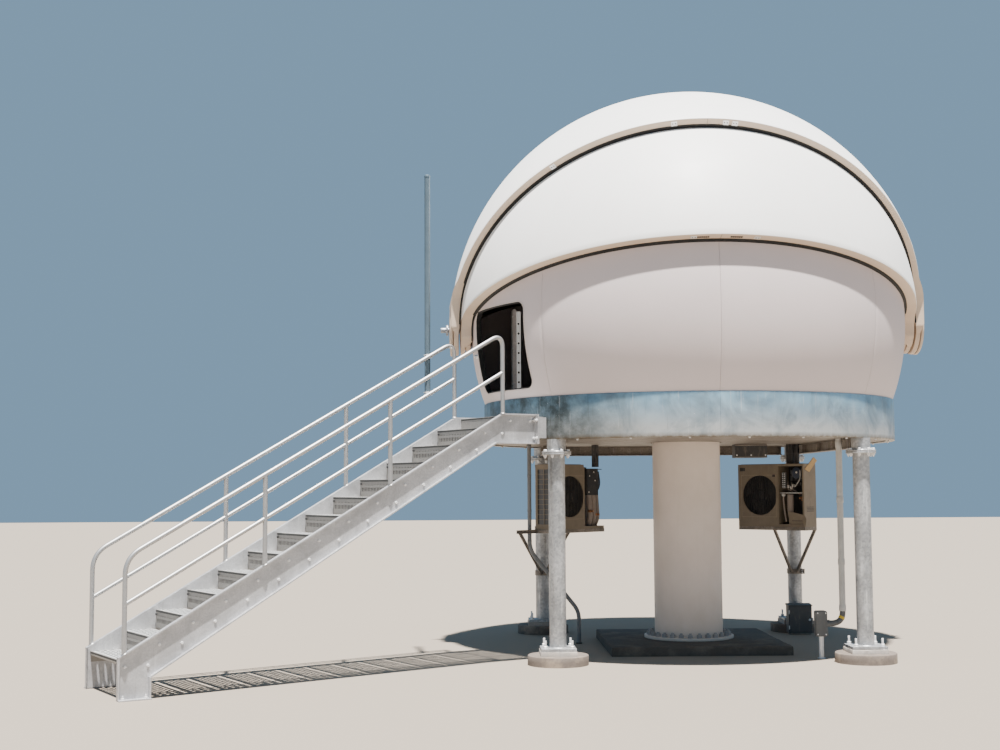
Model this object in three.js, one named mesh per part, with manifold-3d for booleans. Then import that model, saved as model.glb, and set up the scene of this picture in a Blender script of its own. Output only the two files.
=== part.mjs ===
// Clamshell observatory dome on a raised steel deck, with its pier, stair and cooling units.
// Millimetres, +Z up. The origin is on the pier's axis at ground level, X runs along the
// shutters' pivot axis, and -Y is the side with the two shutters that a visitor sees first.
import * as THREE from "three";
import { mergeVertices } from "three/addons/utils/BufferGeometryUtils.js";
import Module from "manifold-3d";

const wasm = await Module();
wasm.setup();

// Driving dimensions
const GAP = 0.3; // between pieces that touch
const STEP = 5; // degrees between the facets of the wall and the band
const SHELL_STEP = 6.5; // degrees between the facets of a shutter from pivot to pivot
const SHELL_ROW = 8; // degrees between the facets of a shutter from edge to edge
const DOME_Z = 3530; // height of the dome's centre and of the pivot axis
const WALL_R = 2400; // outside of the fixed wall, which is a zone of a sphere
const WALL_T = 20;
const WALL_BOTTOM_Z = 2686;
const WALL_RIM = 17.5; // degrees about the pivot axis, under the lower shutters
const MIDDLE_R = 2535; // outside of the lower shutters
const TOP_R = 2633; // outside of the upper shutters
const SHELL_T = 12;
const MIDDLE_RIM = 14.9; // degrees about the pivot axis at the lower edge of each shutter
const TOP_RIM = 48.4;
const OVERLAP = 2.8; // degrees that an upper shutter laps over a lower one
const LIP_T = 16;
const LIP_CLEARANCE = 12;
const CROWN_FLANGE = 60;
const EAR = 6.4; // angular radius in degrees of the round ears about the pivot axis
const EAR_GAP = 0.6;
const EAR_SIDES = 20;
const EAR_BITE = 1.5; // degrees of the ear that its pad covers
const PAD_MARGIN = 1.5; // degrees between the pad and the shutter's edges
const PIN_R = 30;
const PIN_CLEARANCE = 0.4;
const CROWN_GAP = 3; // from the crown's plane to the edge of each upper shutter
const EARS = {
  far_middle: [2424, 2476],
  near_middle: [2484, MIDDLE_R],
  near_top: [2560, 2613],
  far_top: [2621, 2680],
};

const DOOR_AZIMUTH = 207.1;
const DOOR_W = 985;
const DOOR_BOTTOM_Z = 2776;
const DOOR_H = 892;
const DOOR_CORNER = 70;
const FRAME_W = 55; // width of the door frame's face round the opening
const FRAME_DEPTH = 40; // behind the wall
const LEAF_T = 36;
const HINGE_PIN_R = 8;
const HINGE_SETBACK = 110; // from the leaf's lowest corner inwards to the hinge
const LEAF_CLEARANCE = 8; // between the closed leaf and the frame
const LEAF_LAP = 30;
const LEAF_OPEN = 100; // degrees between the closed leaf and the leaf at rest
const UPRIGHT = [1700, -880]; // from the dome's axis, outwards and across the doorway
const UPRIGHT_TOP_Z = 3770;

const BAND_R = 2260;
const BAND_BOTTOM_Z = 2243;
const BAND_T = 10;
const BAND_FLANGE = 95;
const DECK_HOLE_R = 400;
// A shallow box that hangs under the deck beside the right cooling unit
const DECK_BOX = { low: [693, 750, 2097], high: [1070, 950] };

const LEG_OFFSET = 1545; // from the pier's axis to each leg, along X and along Y
const LEG_R = 84;
const LEG_SIDES = 20;
const HEAD_R = 96;
const HEAD_FLANGE_R = 150;
const HEAD_FLANGE_T = 18;
const HEAD_FLANGE_Z = 2107; // top of the leg's own flange
const FOOTING_R = 306;
const FOOTING_H = 98;
const BASE_PLATE = 350;
const GROUT_H = 45;
const PLATE_T = 25;
const BEAM_SETBACK = 140; // from each leg's axis to the end of a beam
const BEAM_H = 100;
const BEAM_W = 100;

const PIER_R = 375;
const PIER_TOP_Z = 2850;
const PIER_FLANGE_R = 492;
const PIER_FLANGE_T = 32;
const PIER_LUG_AZIMUTH = 83; // of the first of four tapered lugs round the pier's foot
const PIER_LUG_H = 185;
const PAD = 1900;
const PAD_H = 98;

const STAIR_AZIMUTH = 211.2;
const STAIR_HALF = 473; // from the stair's centre line to the centre of each rail
const STAIR_SLOPE = 0.5583;
const POST_PITCH = 1258;
const LAST_POST = 2730; // distance of the uppermost post from the dome's axis
const LAST_POST_Z = 2498;
const STAIR_TOE = 49; // from the lowest post to the stringer's plumb cut
const TOE_Z = 179; // height of the stringer's level cut
const CHANNEL_H = 300;
const CHANNEL_T = 10;
const CHANNEL_FLANGE_T = 13;
const CHANNEL_FLANGE = 76;
const LANDING_GAP = 70; // between the band and the stringers' end plates
const RAIL_R = 21;
const RAIL_H = 800;
const MID_RAIL_H = 410;
const RAIL_BEND = 150;
const TREADS = 13;
const TREAD_RUN = 297;
const TREAD_RISE = 168.4;
const TREAD_DEPTH = 270;
const TREAD_T = 35;
const CARRIER_H = 95; // height of the plates at a tread's ends
const RISER_GAP = 3; // from a riser's lower edge to the level of the tread below
const TOP_NOSING = 2959; // distance of the top tread's front edge from the dome's axis
const TOP_TREAD_Z = 2354;
const LANDING_NOSING = 2675;
const LANDING_Z = 2480;

const MAST_R = 30;
const MAST_DISTANCE = 3020;
const MAST_BOTTOM_Z = 2730;
const MAST_TOP_Z = 5060;

const UNIT_W = 900;
const UNIT_D = 270;
const UNIT_H = 740;
const UNIT_Z = 1285;
const UNIT_BAY = 330; // width of the open service bay at the unit's right end
const UNIT_FAN_R = 235;
// The centre of each cooling unit, and the direction that it faces in degrees
const UNITS = { left: [-1272, 520, 315], right: [1227, 1000, 226] };
// Ducts from each unit's bay up to the deck: place in the unit's frame and half sizes
const DUCTS = {
  left: [[40, 410, 33, 33]],
  right: [
    [0, 200, 35, 45],
    [0, 285, 22, 24],
  ],
};
// Where the two braces of each bracket meet its rear bar, across the unit
const BRACES = { left: [-730, 116], right: [-120, 440] };
const BRACE_FOOT = -560; // height of the braces' collar below the units

const CONDUIT = [1410, -1200];
const CONDUIT_R = 32;
const JUNCTION = [1178, -1215];
const JUNCTION_SIZE = [120, 90, 260];
const JUNCTION_Z = 225;
const JUNCTION_POST_R = 24;
const LEFT_CONDUIT_R = 25;
// The left conduit's corners, down from the deck to the ground
const LEFT_CONDUIT = [
  [-1748, 330, 2253],
  [-1748, 330, 1050],
  [-1196, 330, 364],
  [-1196, 330, 0],
];
const ENCLOSURE_X = 1498;
const ENCLOSURE_SIZE = [276, 150, 350];

// Values worked out from the driving dimensions
const RADIANS = Math.PI / 180;
const WALL_INNER = WALL_R - WALL_T;
const BAND_TOP_Z = WALL_BOTTOM_Z - GAP;
const SKIN_START = EAR + EAR_GAP;
const DOOR_MIDDLE_Z = DOOR_BOTTOM_Z + DOOR_H / 2;
const FIRST_POST = LAST_POST + 3 * POST_PITCH;
const STAIR_END = FIRST_POST + STAIR_TOE;
const LEG_TOP_Z = HEAD_FLANGE_Z;
const HEAD_BOTTOM_Z = HEAD_FLANGE_Z + GAP;

const COLOURS = {
  shell: [0xf1f0ec, 0.35, 0],
  wall: [0xe2e1df, 0.4, 0],
  galvanised: [0xb9c0c4, 0.45, 0.8],
  rail: [0xd9dcdc, 0.4, 0.7],
  pier: [0xe9e4da, 0.6, 0],
  concrete: [0xc9bfae, 0.9, 0],
  deck: [0x8c8f8d, 0.6, 0.5],
  unit: [0xcfc9bb, 0.5, 0],
};

function material(kind) {
  const [color, roughness, metalness] = COLOURS[kind];
  return new THREE.MeshStandardMaterial({ color, roughness, metalness });
}

// Solids

function toSolid(geometry) {
  const bare = new THREE.BufferGeometry();
  bare.setAttribute("position", geometry.getAttribute("position").clone());
  if (geometry.index) {
    bare.setIndex(geometry.index.clone());
  }
  const merged = mergeVertices(bare, 1e-3);
  const index = merged.index.array;
  const triangles = [];
  for (let i = 0; i < index.length; i += 3) {
    const [a, b, c] = [index[i], index[i + 1], index[i + 2]];
    if (a !== b && b !== c && a !== c) {
      triangles.push(a, b, c);
    }
  }
  const vertProperties = new Float32Array(merged.attributes.position.array);
  const make = (list) =>
    new wasm.Manifold(
      new wasm.Mesh({ numProp: 3, vertProperties, triVerts: new Uint32Array(list) }),
    );
  const solid = make(triangles);
  if (solid.volume() > 0) {
    return solid;
  }
  const turned = [];
  for (let i = 0; i < triangles.length; i += 3) {
    turned.push(triangles[i], triangles[i + 2], triangles[i + 1]);
  }
  return make(turned);
}

function toGeometry(solid) {
  const mesh = solid.getMesh();
  const positions = new Float32Array(mesh.numVert * 3);
  for (let i = 0; i < mesh.numVert; i++) {
    const start = i * mesh.numProp;
    positions.set(mesh.vertProperties.subarray(start, start + 3), i * 3);
  }
  const geometry = new THREE.BufferGeometry();
  geometry.setAttribute("position", new THREE.BufferAttribute(positions, 3));
  geometry.setIndex(new THREE.BufferAttribute(mesh.triVerts, 1));
  geometry.computeVertexNormals();
  return geometry;
}

function join(solids) {
  return solids.reduce((sum, solid) => sum.add(solid));
}

function node(parent, name, solid, kind) {
  const mesh = new THREE.Mesh(toGeometry(solid), material(kind));
  mesh.name = name;
  parent.add(mesh);
  return mesh;
}

// A box from its lowest to its highest corner.
function block(low, high) {
  const size = high.map((value, i) => value - low[i]);
  const geometry = new THREE.BoxGeometry(...size);
  geometry.translate(...low.map((value, i) => value + size[i] / 2));
  return toSolid(geometry);
}

// A round bar along Z.
function cylinder(x, y, low, high, radius, sides = 24) {
  const geometry = new THREE.CylinderGeometry(radius, radius, high - low, sides);
  geometry.rotateX(Math.PI / 2);
  geometry.translate(x, y, (low + high) / 2);
  return toSolid(geometry);
}

// A round bar along X.
function crossCylinder(low, high, y, z, radius, sides = 24) {
  const geometry = new THREE.CylinderGeometry(radius, radius, high - low, sides);
  geometry.rotateZ(Math.PI / 2);
  geometry.translate((low + high) / 2, y, z);
  return toSolid(geometry);
}

// An outline drawn in the XZ plane and extruded along Y.
function sidePlate(points, low, high) {
  const shape = new THREE.Shape(points.map(([x, z]) => new THREE.Vector2(x, z)));
  const geometry = new THREE.ExtrudeGeometry(shape, { depth: high - low, bevelEnabled: false });
  geometry.rotateX(Math.PI / 2);
  geometry.translate(0, high, 0);
  return toSolid(geometry);
}

// A path through listed points, straight from one to the next.
class PointPath extends THREE.Curve {
  constructor(points) {
    super();
    this.points = points;
  }

  getPoint(t) {
    const place = t * (this.points.length - 1);
    const index = Math.min(Math.floor(place), this.points.length - 2);
    return this.points[index].clone().lerp(this.points[index + 1], place - index);
  }

  getPointAt(t) {
    return this.getPoint(t);
  }

  getTangentAt(t) {
    const last = this.points.length - 1;
    const index = Math.round(t * last);
    const before = this.points[Math.max(index - 1, 0)];
    const here = this.points[index];
    const after = this.points[Math.min(index + 1, last)];
    const into = here.clone().sub(before).normalize();
    const out = after.clone().sub(here).normalize();
    return into.add(out).normalize();
  }
}

function tube(points, radius, sides = 8) {
  const section = new THREE.Shape();
  for (let i = 0; i < sides; i++) {
    const angle = (i / sides) * 2 * Math.PI;
    const [x, y] = [radius * Math.cos(angle), radius * Math.sin(angle)];
    if (i === 0) {
      section.moveTo(x, y);
    } else {
      section.lineTo(x, y);
    }
  }
  const path = new PointPath(points);
  const settings = { steps: points.length - 1, bevelEnabled: false, extrudePath: path };
  return toSolid(new THREE.ExtrudeGeometry(section, settings));
}

// Points through a corner, with the corner itself rounded off.
function roundCorner(before, corner, after, size, steps = 5) {
  const start = corner.clone().add(before.clone().sub(corner).setLength(size));
  const end = corner.clone().add(after.clone().sub(corner).setLength(size));
  const bend = new THREE.QuadraticBezierCurve3(start, corner, end);
  return bend.getPoints(steps);
}

// A closed skin over a grid of directions, from the radius inner(i, j) to the radius outer(i, j).
function skin(directions, centre, inner, outer) {
  const rows = directions.length;
  const columns = directions[0].length;
  const positions = [];
  for (const radius of [outer, inner]) {
    directions.forEach((row, i) =>
      row.forEach((direction, j) => {
        const point = direction.clone().multiplyScalar(radius(i, j)).add(centre);
        positions.push(point.x, point.y, point.z);
      }),
    );
  }
  const index = [];
  const at = (layer, i, j) => layer * rows * columns + i * columns + j;
  const quad = (a, b, c, d) => index.push(a, b, c, a, c, d);
  for (let i = 0; i + 1 < rows; i++) {
    for (let j = 0; j + 1 < columns; j++) {
      quad(at(0, i, j), at(0, i, j + 1), at(0, i + 1, j + 1), at(0, i + 1, j));
      quad(at(1, i, j), at(1, i + 1, j), at(1, i + 1, j + 1), at(1, i, j + 1));
    }
    quad(at(0, i, 0), at(0, i + 1, 0), at(1, i + 1, 0), at(1, i, 0));
    const last = columns - 1;
    quad(at(0, i + 1, last), at(0, i, last), at(1, i, last), at(1, i + 1, last));
  }
  for (let j = 0; j + 1 < columns; j++) {
    quad(at(0, 0, j + 1), at(0, 0, j), at(1, 0, j), at(1, 0, j + 1));
    const last = rows - 1;
    quad(at(0, last, j), at(0, last, j + 1), at(1, last, j + 1), at(1, last, j));
  }
  const geometry = new THREE.BufferGeometry();
  geometry.setAttribute("position", new THREE.Float32BufferAttribute(positions, 3));
  geometry.setIndex(index);
  return toSolid(geometry);
}

function range(from, to, step) {
  const count = Math.max(1, Math.round((to - from) / step));
  return Array.from({ length: count + 1 }, (_, i) => from + ((to - from) * i) / count);
}

const DOME_CENTRE = new THREE.Vector3(0, 0, DOME_Z);

// A direction by its azimuth about Z and its elevation.
function compass(azimuth, elevation) {
  const flat = Math.cos(elevation * RADIANS);
  return new THREE.Vector3(
    flat * Math.cos(azimuth * RADIANS),
    flat * Math.sin(azimuth * RADIANS),
    Math.sin(elevation * RADIANS),
  );
}

// A direction by its angle from the left pivot and its angle about the pivot axis.
function about(fromPivot, turn, side) {
  const away = Math.sin(fromPivot * RADIANS);
  return new THREE.Vector3(
    -Math.cos(fromPivot * RADIANS),
    side * away * Math.cos(turn * RADIANS),
    away * Math.sin(turn * RADIANS),
  );
}

// A solid through matching closed loops of points, capped as the outline shows.
function loft(loops, outline) {
  const positions = loops.flat().flatMap((point) => [point.x, point.y, point.z]);
  const count = outline.length;
  const index = [];
  for (let i = 0; i + 1 < loops.length; i++) {
    for (let j = 0; j < count; j++) {
      const [a, b] = [i * count + j, i * count + ((j + 1) % count)];
      index.push(b, a, a + count, b, a + count, b + count);
    }
  }
  const end = (loops.length - 1) * count;
  for (const [a, b, c] of THREE.ShapeUtils.triangulateShape(outline, [])) {
    index.push(a, b, c, end + a, end + c, end + b);
  }
  const geometry = new THREE.BufferGeometry();
  geometry.setAttribute("position", new THREE.Float32BufferAttribute(positions, 3));
  geometry.setIndex(index);
  return toSolid(geometry);
}

// A closed outline of radius and height, swept about Z from one azimuth to another.
function sector(profile, from, to) {
  const outline = profile.map(([radius, z]) => new THREE.Vector2(radius, z));
  if (THREE.ShapeUtils.isClockWise(outline)) {
    outline.reverse();
  }
  const loops = range(from, to, STEP).map((azimuth) => {
    const [x, y] = [Math.cos(azimuth * RADIANS), Math.sin(azimuth * RADIANS)];
    return outline.map((point) => new THREE.Vector3(point.x * x, point.x * y, point.y));
  });
  return loft(loops, outline);
}

// Fixed wall

function wallTop(azimuth) {
  const turn = Math.abs(Math.sin(azimuth * RADIANS));
  const rim = Math.atan(Math.tan(WALL_RIM * RADIANS) * turn) / RADIANS;
  const fromPivot = Math.asin(turn) / RADIANS;
  const ear = fromPivot < EAR + 1 ? Math.sqrt((EAR + 1) ** 2 - fromPivot ** 2) : 0;
  return Math.max(rim, ear);
}

const WALL_BOTTOM = Math.asin((WALL_BOTTOM_Z - DOME_Z) / WALL_R) / RADIANS;
const WALL_ROWS = 5;

// The wall between two azimuths, with the flange that stands on the band.
function wallPatch(from, to, inner = WALL_INNER, outer = WALL_R) {
  const azimuths = range(from, to, STEP);
  const rows = range(0, 1, 1 / WALL_ROWS);
  const grid = rows.map((share) =>
    azimuths.map((azimuth) =>
      compass(azimuth, WALL_BOTTOM + (wallTop(azimuth) - WALL_BOTTOM) * share),
    ),
  );
  return skin(grid, DOME_CENTRE, () => inner, () => outer);
}

function wallSegment(from, to) {
  const foot = Math.sqrt(WALL_R ** 2 - (WALL_BOTTOM_Z - DOME_Z) ** 2);
  const flange = [
    [foot - 75, WALL_BOTTOM_Z],
    [foot - 2, WALL_BOTTOM_Z],
    [foot - 2, WALL_BOTTOM_Z + 14],
    [foot - 75, WALL_BOTTOM_Z + 14],
  ];
  const below = block([-3000, -3000, WALL_BOTTOM_Z - 200], [3000, 3000, WALL_BOTTOM_Z]);
  return wallPatch(from, to).add(sector(flange, from, to)).subtract(below);
}

// A rounded rectangle extruded along X, centred on the doorway in the doorway's own frame.
function doorPrism(grow, low, high) {
  const [w, h] = [DOOR_W / 2 + grow, DOOR_H / 2 + grow];
  const r = DOOR_CORNER + grow;
  const shape = new THREE.Shape();
  shape.moveTo(-w + r, -h);
  shape.lineTo(w - r, -h);
  shape.absarc(w - r, -h + r, r, -Math.PI / 2, 0);
  shape.lineTo(w, h - r);
  shape.absarc(w - r, h - r, r, 0, Math.PI / 2);
  shape.lineTo(-w + r, h);
  shape.absarc(-w + r, h - r, r, Math.PI / 2, Math.PI);
  shape.lineTo(-w, -h + r);
  shape.absarc(-w + r, -h + r, r, Math.PI, 1.5 * Math.PI);
  const settings = { depth: high - low, bevelEnabled: false, curveSegments: 4 };
  const geometry = new THREE.ExtrudeGeometry(shape, settings);
  geometry.rotateX(Math.PI / 2);
  geometry.rotateZ(Math.PI / 2);
  geometry.translate(low, 0, DOOR_MIDDLE_Z);
  return toSolid(geometry);
}

// A solid from the doorway's own frame (X outwards, Y across, Z up) to the part's frame.
function atDoor(solid) {
  return solid.rotate([0, 0, DOOR_AZIMUTH]);
}

function buildWall(parent) {
  const seams = { near_left: [225, 270], near_right: [270, 315], far_right: [45, 90], far_left: [90, 135] };
  const trim = GAP / 2 / WALL_R / RADIANS;
  for (const [name, [from, to]] of Object.entries(seams)) {
    node(parent, `wall_${name}`, wallSegment(from + trim, to - trim), "wall");
  }
  const pinHole = crossCylinder(-2600, 2600, 0, DOME_Z, PIN_R + GAP, 16);
  node(parent, "wall_right_pivot", wallSegment(-45 + trim, 45 - trim).subtract(pinHole), "wall");

  const panel = wallSegment(135 + trim, 225 - trim).subtract(pinHole);
  const open = panel.subtract(atDoor(doorPrism(0, 2000, 2600)));
  const edge = DOOR_W / 2;
  const strip = (low, high, bottom, top) =>
    atDoor(block([200, low, bottom], [2700, high, top]));
  const [floor, roof] = [WALL_BOTTOM_Z - 10, DOME_Z + 1500];
  const wide = 2500;
  const pieces = {
    wall_left_pivot: strip(-wide, -edge - GAP / 2, floor, roof),
    wall_door_jamb: strip(edge + GAP / 2, wide, floor, roof),
    wall_over_door: strip(-edge + GAP / 2, edge - GAP / 2, DOOR_MIDDLE_Z, roof),
    wall_door_sill: strip(-edge + GAP / 2, edge - GAP / 2, floor, DOOR_MIDDLE_Z),
  };
  for (const [name, cutter] of Object.entries(pieces)) {
    node(parent, name, open.intersect(cutter), "wall");
  }
}

// Doorway

const LEAF_OUTER = WALL_INNER - FRAME_DEPTH - LEAF_CLEARANCE;
const HINGE_X =
  Math.sqrt(LEAF_OUTER ** 2 - (DOME_Z - DOOR_BOTTOM_Z + LEAF_LAP) ** 2) - HINGE_SETBACK;
const HINGE_Y = DOOR_W / 2 + LEAF_LAP + 14;
const HINGES_Z = [DOOR_BOTTOM_Z + 120, DOOR_BOTTOM_Z + DOOR_H - 180];
const BARREL_H = 60;

// A fixed plate from the frame to the hinge, with the pin that stands up through the barrel.
function hingePlate(z) {
  const reach = Math.sqrt((WALL_INNER - 15) ** 2 - (z - DOME_Z) ** 2 - HINGE_Y ** 2);
  const plate = block([HINGE_X - 12, HINGE_Y - 8, z - 14], [reach, HINGE_Y + 10, z - 2]);
  const pin = cylinder(HINGE_X, HINGE_Y, z - 6, z + BARREL_H + 10, HINGE_PIN_R, 12);
  return atDoor(plate.add(pin));
}

function buildDoorFrame(parent) {
  const behind = wallPatch(180, 225, WALL_INNER - FRAME_DEPTH, WALL_INNER - GAP * 1.5);
  const ring = doorPrism(FRAME_W, 1900, 2600).subtract(doorPrism(0, 1800, 2700));
  const frame = join([atDoor(ring).intersect(behind), ...HINGES_Z.map(hingePlate)]);
  node(parent, "door_frame", frame, "wall");
}

// An arm of the leaf from its skin to the hinge barrel, as it stands when the leaf is closed.
function hingeArm(z) {
  const [low, high] = [z + 5, z + BARREL_H - 5];
  const level = z + BARREL_H / 2 - DOME_Z;
  const skinX = Math.sqrt((LEAF_OUTER - LEAF_T / 2) ** 2 - level ** 2 - (HINGE_Y - 30) ** 2);
  const barrel = cylinder(HINGE_X, HINGE_Y, z, z + BARREL_H, HINGE_PIN_R + 8, 12);
  const arm = block([HINGE_X, HINGE_Y - 55, low], [skinX, HINGE_Y - 20, high]);
  const link = block([HINGE_X - 7, HINGE_Y - 55, low], [HINGE_X + 7, HINGE_Y, high]);
  return join([barrel, arm, link]);
}

// The leaf is cut from the same sphere as the wall and swings on an upright hinge.
function buildDoorLeaf(parent) {
  const panel = atDoor(doorPrism(LEAF_LAP, 1900, 2600)).intersect(
    wallPatch(180, 225, LEAF_OUTER - LEAF_T, LEAF_OUTER),
  );
  const bores = HINGES_Z.map((z) =>
    cylinder(HINGE_X, HINGE_Y, z - 10, z + BARREL_H + 10, HINGE_PIN_R + 0.9, 12),
  );
  const arms = join(HINGES_Z.map(hingeArm)).subtract(join(bores));
  const swung = panel
    .rotate([0, 0, -DOOR_AZIMUTH])
    .add(arms)
    .translate([-HINGE_X, -HINGE_Y, 0])
    .rotate([0, 0, -LEAF_OPEN])
    .translate([HINGE_X, HINGE_Y, 0]);
  node(parent, "door_leaf", atDoor(swung), "wall");
}

// The drilled flat bar that shows inside the doorway, with a thin tube clipped along it.
function buildUpright(parent) {
  const [x, y] = UPRIGHT;
  const floor = BAND_TOP_Z + GAP;
  const bar = block([x - 5, y - 38, floor], [x + 5, y + 38, UPRIGHT_TOP_Z]);
  const foot = block([x - 60, y - 60, floor], [x + 60, y + 60, floor + 10]);
  const side = block([x - 40, y + 28, floor], [x, y + 38, UPRIGHT_TOP_Z]);
  const tubeY = y - 60;
  const rod = cylinder(x, tubeY, floor + 150, UPRIGHT_TOP_Z + 20, 9, 8);
  const clips = [250, 560, UPRIGHT_TOP_Z - floor - 20].map((height) =>
    block([x - 4, tubeY - 12, floor + height - 12], [x + 4, y, floor + height + 12]),
  );
  const solid = join([bar, foot, side, rod, ...clips]);
  node(parent, "door_upright", atDoor(solid), "galvanised");
}

// Shutters

const SHELL_COLUMNS = range(SKIN_START, 180 - SKIN_START, SHELL_STEP);

function shellGrid(side, columns, low, high) {
  const rows = range(low, high, SHELL_ROW);
  return columns.map((fromPivot) => rows.map((turn) => about(fromPivot, turn, side)));
}

// The curved skin with its lower lip, and with a flange along the crown if it has one.
// The lips lie in planes through the pivot axis and are equally thick all along.
function shellBody(side, radius, low, high, lipInner, crown) {
  const inner = radius - SHELL_T;
  const rows = range(low, high, SHELL_ROW);
  const edge = crown ? -CROWN_GAP : 0;
  const upwards = rows.map((turn) => [turn, turn === high ? edge : 0, radius]);
  const downwards = rows.slice(1, crown ? -1 : undefined).map((turn) => [turn, 0, inner]);
  const profile = [...upwards];
  if (crown) {
    profile.push([high, edge, inner - CROWN_FLANGE]);
    profile.push([high, edge - LIP_T, inner - CROWN_FLANGE], [high, edge - LIP_T, inner]);
  }
  profile.push(...downwards.reverse());
  profile.push([low, LIP_T, inner], [low, LIP_T, lipInner], [low, 0, lipInner]);
  const loops = SHELL_COLUMNS.map((fromPivot) => {
    const arm = radius * Math.sin(fromPivot * RADIANS);
    return profile.map(([turn, shift, distance]) =>
      about(fromPivot, turn + shift / arm / RADIANS, side).multiplyScalar(distance).add(DOME_CENTRE),
    );
  });
  const outline = profile.map(([turn, shift, distance]) => {
    return new THREE.Vector2(turn * radius * RADIANS + shift, distance);
  });
  if (THREE.ShapeUtils.isClockWise(outline)) {
    outline.reverse();
    loops.forEach((loop) => loop.reverse());
  }
  return loft(loops, outline);
}

// The round ear about the pivot axis, at the left or at the right end.
function ear(end, inner, outer) {
  const profile = [];
  const hole = (PIN_R + PIN_CLEARANCE) / Math.cos(Math.PI / EAR_SIDES);
  const angles = [0.5 * EAR, EAR];
  profile.push([hole, Math.sqrt(inner ** 2 - hole ** 2)]);
  for (const angle of angles) {
    profile.push([inner * Math.sin(angle * RADIANS), inner * Math.cos(angle * RADIANS)]);
  }
  for (const angle of angles.reverse()) {
    profile.push([outer * Math.sin(angle * RADIANS), outer * Math.cos(angle * RADIANS)]);
  }
  profile.push([hole, Math.sqrt(outer ** 2 - hole ** 2)]);
  profile.push(profile[0]);
  const points = profile.map(([radius, height]) => new THREE.Vector2(radius, height));
  const geometry = new THREE.LatheGeometry(points, EAR_SIDES);
  geometry.rotateZ(end * -Math.PI / 2);
  geometry.translate(0, 0, DOME_Z);
  return toSolid(geometry);
}

// The pad that joins the ear to the shutter's skin, over the skin's first facets.
function earPad(side, end, low, high, [inner, outer], radius) {
  const turned = end < 0 ? SHELL_COLUMNS : SHELL_COLUMNS.toReversed();
  const [first, second] = turned;
  const edge = end < 0 ? EAR - EAR_BITE : 180 - EAR + EAR_BITE;
  const bottom = Math.min(inner, radius - SHELL_T) + 2;
  const top = Math.max(outer, radius) - 2;
  const layer = (columns, from, to) =>
    skin(shellGrid(side, columns, low, high), DOME_CENTRE, () => from, () => to);
  return layer([edge, first, second], inner + 2, outer - 2).add(
    layer([first, second], bottom, top),
  );
}

function buildShutter(parent, name, side, radius, low, high, lipInner, crown) {
  const parts = [shellBody(side, radius, low, high, lipInner, crown)];
  for (const end of [-1, 1]) {
    parts.push(ear(end, ...EARS[name]));
    parts.push(earPad(side, end, low + PAD_MARGIN, high - PAD_MARGIN, EARS[name], radius));
  }
  node(parent, `${name}_shutter`, join(parts), "shell");
}

function buildShutters(parent) {
  for (const [which, side] of [["near", -1], ["far", 1]]) {
    const middleTop = TOP_RIM + OVERLAP;
    const lowerLip = WALL_R + LIP_CLEARANCE;
    const upperLip = MIDDLE_R + LIP_CLEARANCE;
    buildShutter(parent, `${which}_middle`, side, MIDDLE_R, MIDDLE_RIM, middleTop, lowerLip, false);
    buildShutter(parent, `${which}_top`, side, TOP_R, TOP_RIM, 90, upperLip, true);
  }
}

function buildPivots(parent) {
  const outside = EARS.far_top[1];
  for (const [name, end, reach] of [["left", -1, 95], ["right", 1, 45]]) {
    const [low, high] = [WALL_INNER - 40, outside + reach];
    const span = (from, to) => (end < 0 ? [-to, -from] : [from, to]);
    const pin = crossCylinder(...span(low, high), 0, DOME_Z, PIN_R, 16);
    const washer = crossCylinder(...span(outside + 8, outside + 28), 0, DOME_Z, 62, 16);
    const plate = crossCylinder(...span(low, WALL_INNER - 20), 0, DOME_Z, 110, 16);
    node(parent, `pivot_${name}`, join([pin, washer, plate]), "galvanised");
  }
}

// Deck and legs

function buildBand(parent) {
  const [outer, inner] = [BAND_R, BAND_R - BAND_T];
  const lip = BAND_R - BAND_FLANGE;
  const [bottom, top] = [BAND_BOTTOM_Z, BAND_TOP_Z];
  const profile = [
    [outer, bottom],
    [outer, top],
    [lip, top],
    [lip, top - BAND_T],
    [inner, top - BAND_T],
    [inner, bottom + BAND_T],
    [lip, bottom + BAND_T],
    [lip, bottom],
  ];
  const corners = { far_right: [1, 1], far_left: [-1, 1], near_left: [-1, -1], near_right: [1, -1] };
  const trim = GAP / 2 / BAND_R / RADIANS;
  Object.entries(corners).forEach(([name, [i, j]], quarter) => {
    const ring = sector(profile, quarter * 90 + trim, quarter * 90 + 90 - trim);
    const [x, y] = [i * LEG_OFFSET, j * LEG_OFFSET];
    const flangeTop = HEAD_BOTTOM_Z + HEAD_FLANGE_T;
    const stub = cylinder(x, y, flangeTop - 2, bottom + 5, HEAD_R, 20);
    const flange = cylinder(x, y, HEAD_BOTTOM_Z, flangeTop, HEAD_FLANGE_R, 20);
    node(parent, `band_${name}`, join([ring, stub, flange]), "galvanised");
  });
}

// A beam under the deck, beside two leg heads, along X or along Y.
function deckBeam(along, offset, top) {
  const low = BAND_BOTTOM_Z - BEAM_H;
  const reach = LEG_OFFSET - BEAM_SETBACK;
  const section = (side0, side1, z0, z1) =>
    along === "x"
      ? block([-reach, offset + side0, z0], [reach, offset + side1, z1])
      : block([offset + side0, -reach, z0], [offset + side1, reach, z1]);
  const half = BEAM_W / 2;
  return join([
    section(-half, half, low, low + 9),
    section(-half, half, top - 9, top),
    section(-4, 4, low + 4, top - 4),
  ]);
}

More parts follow.
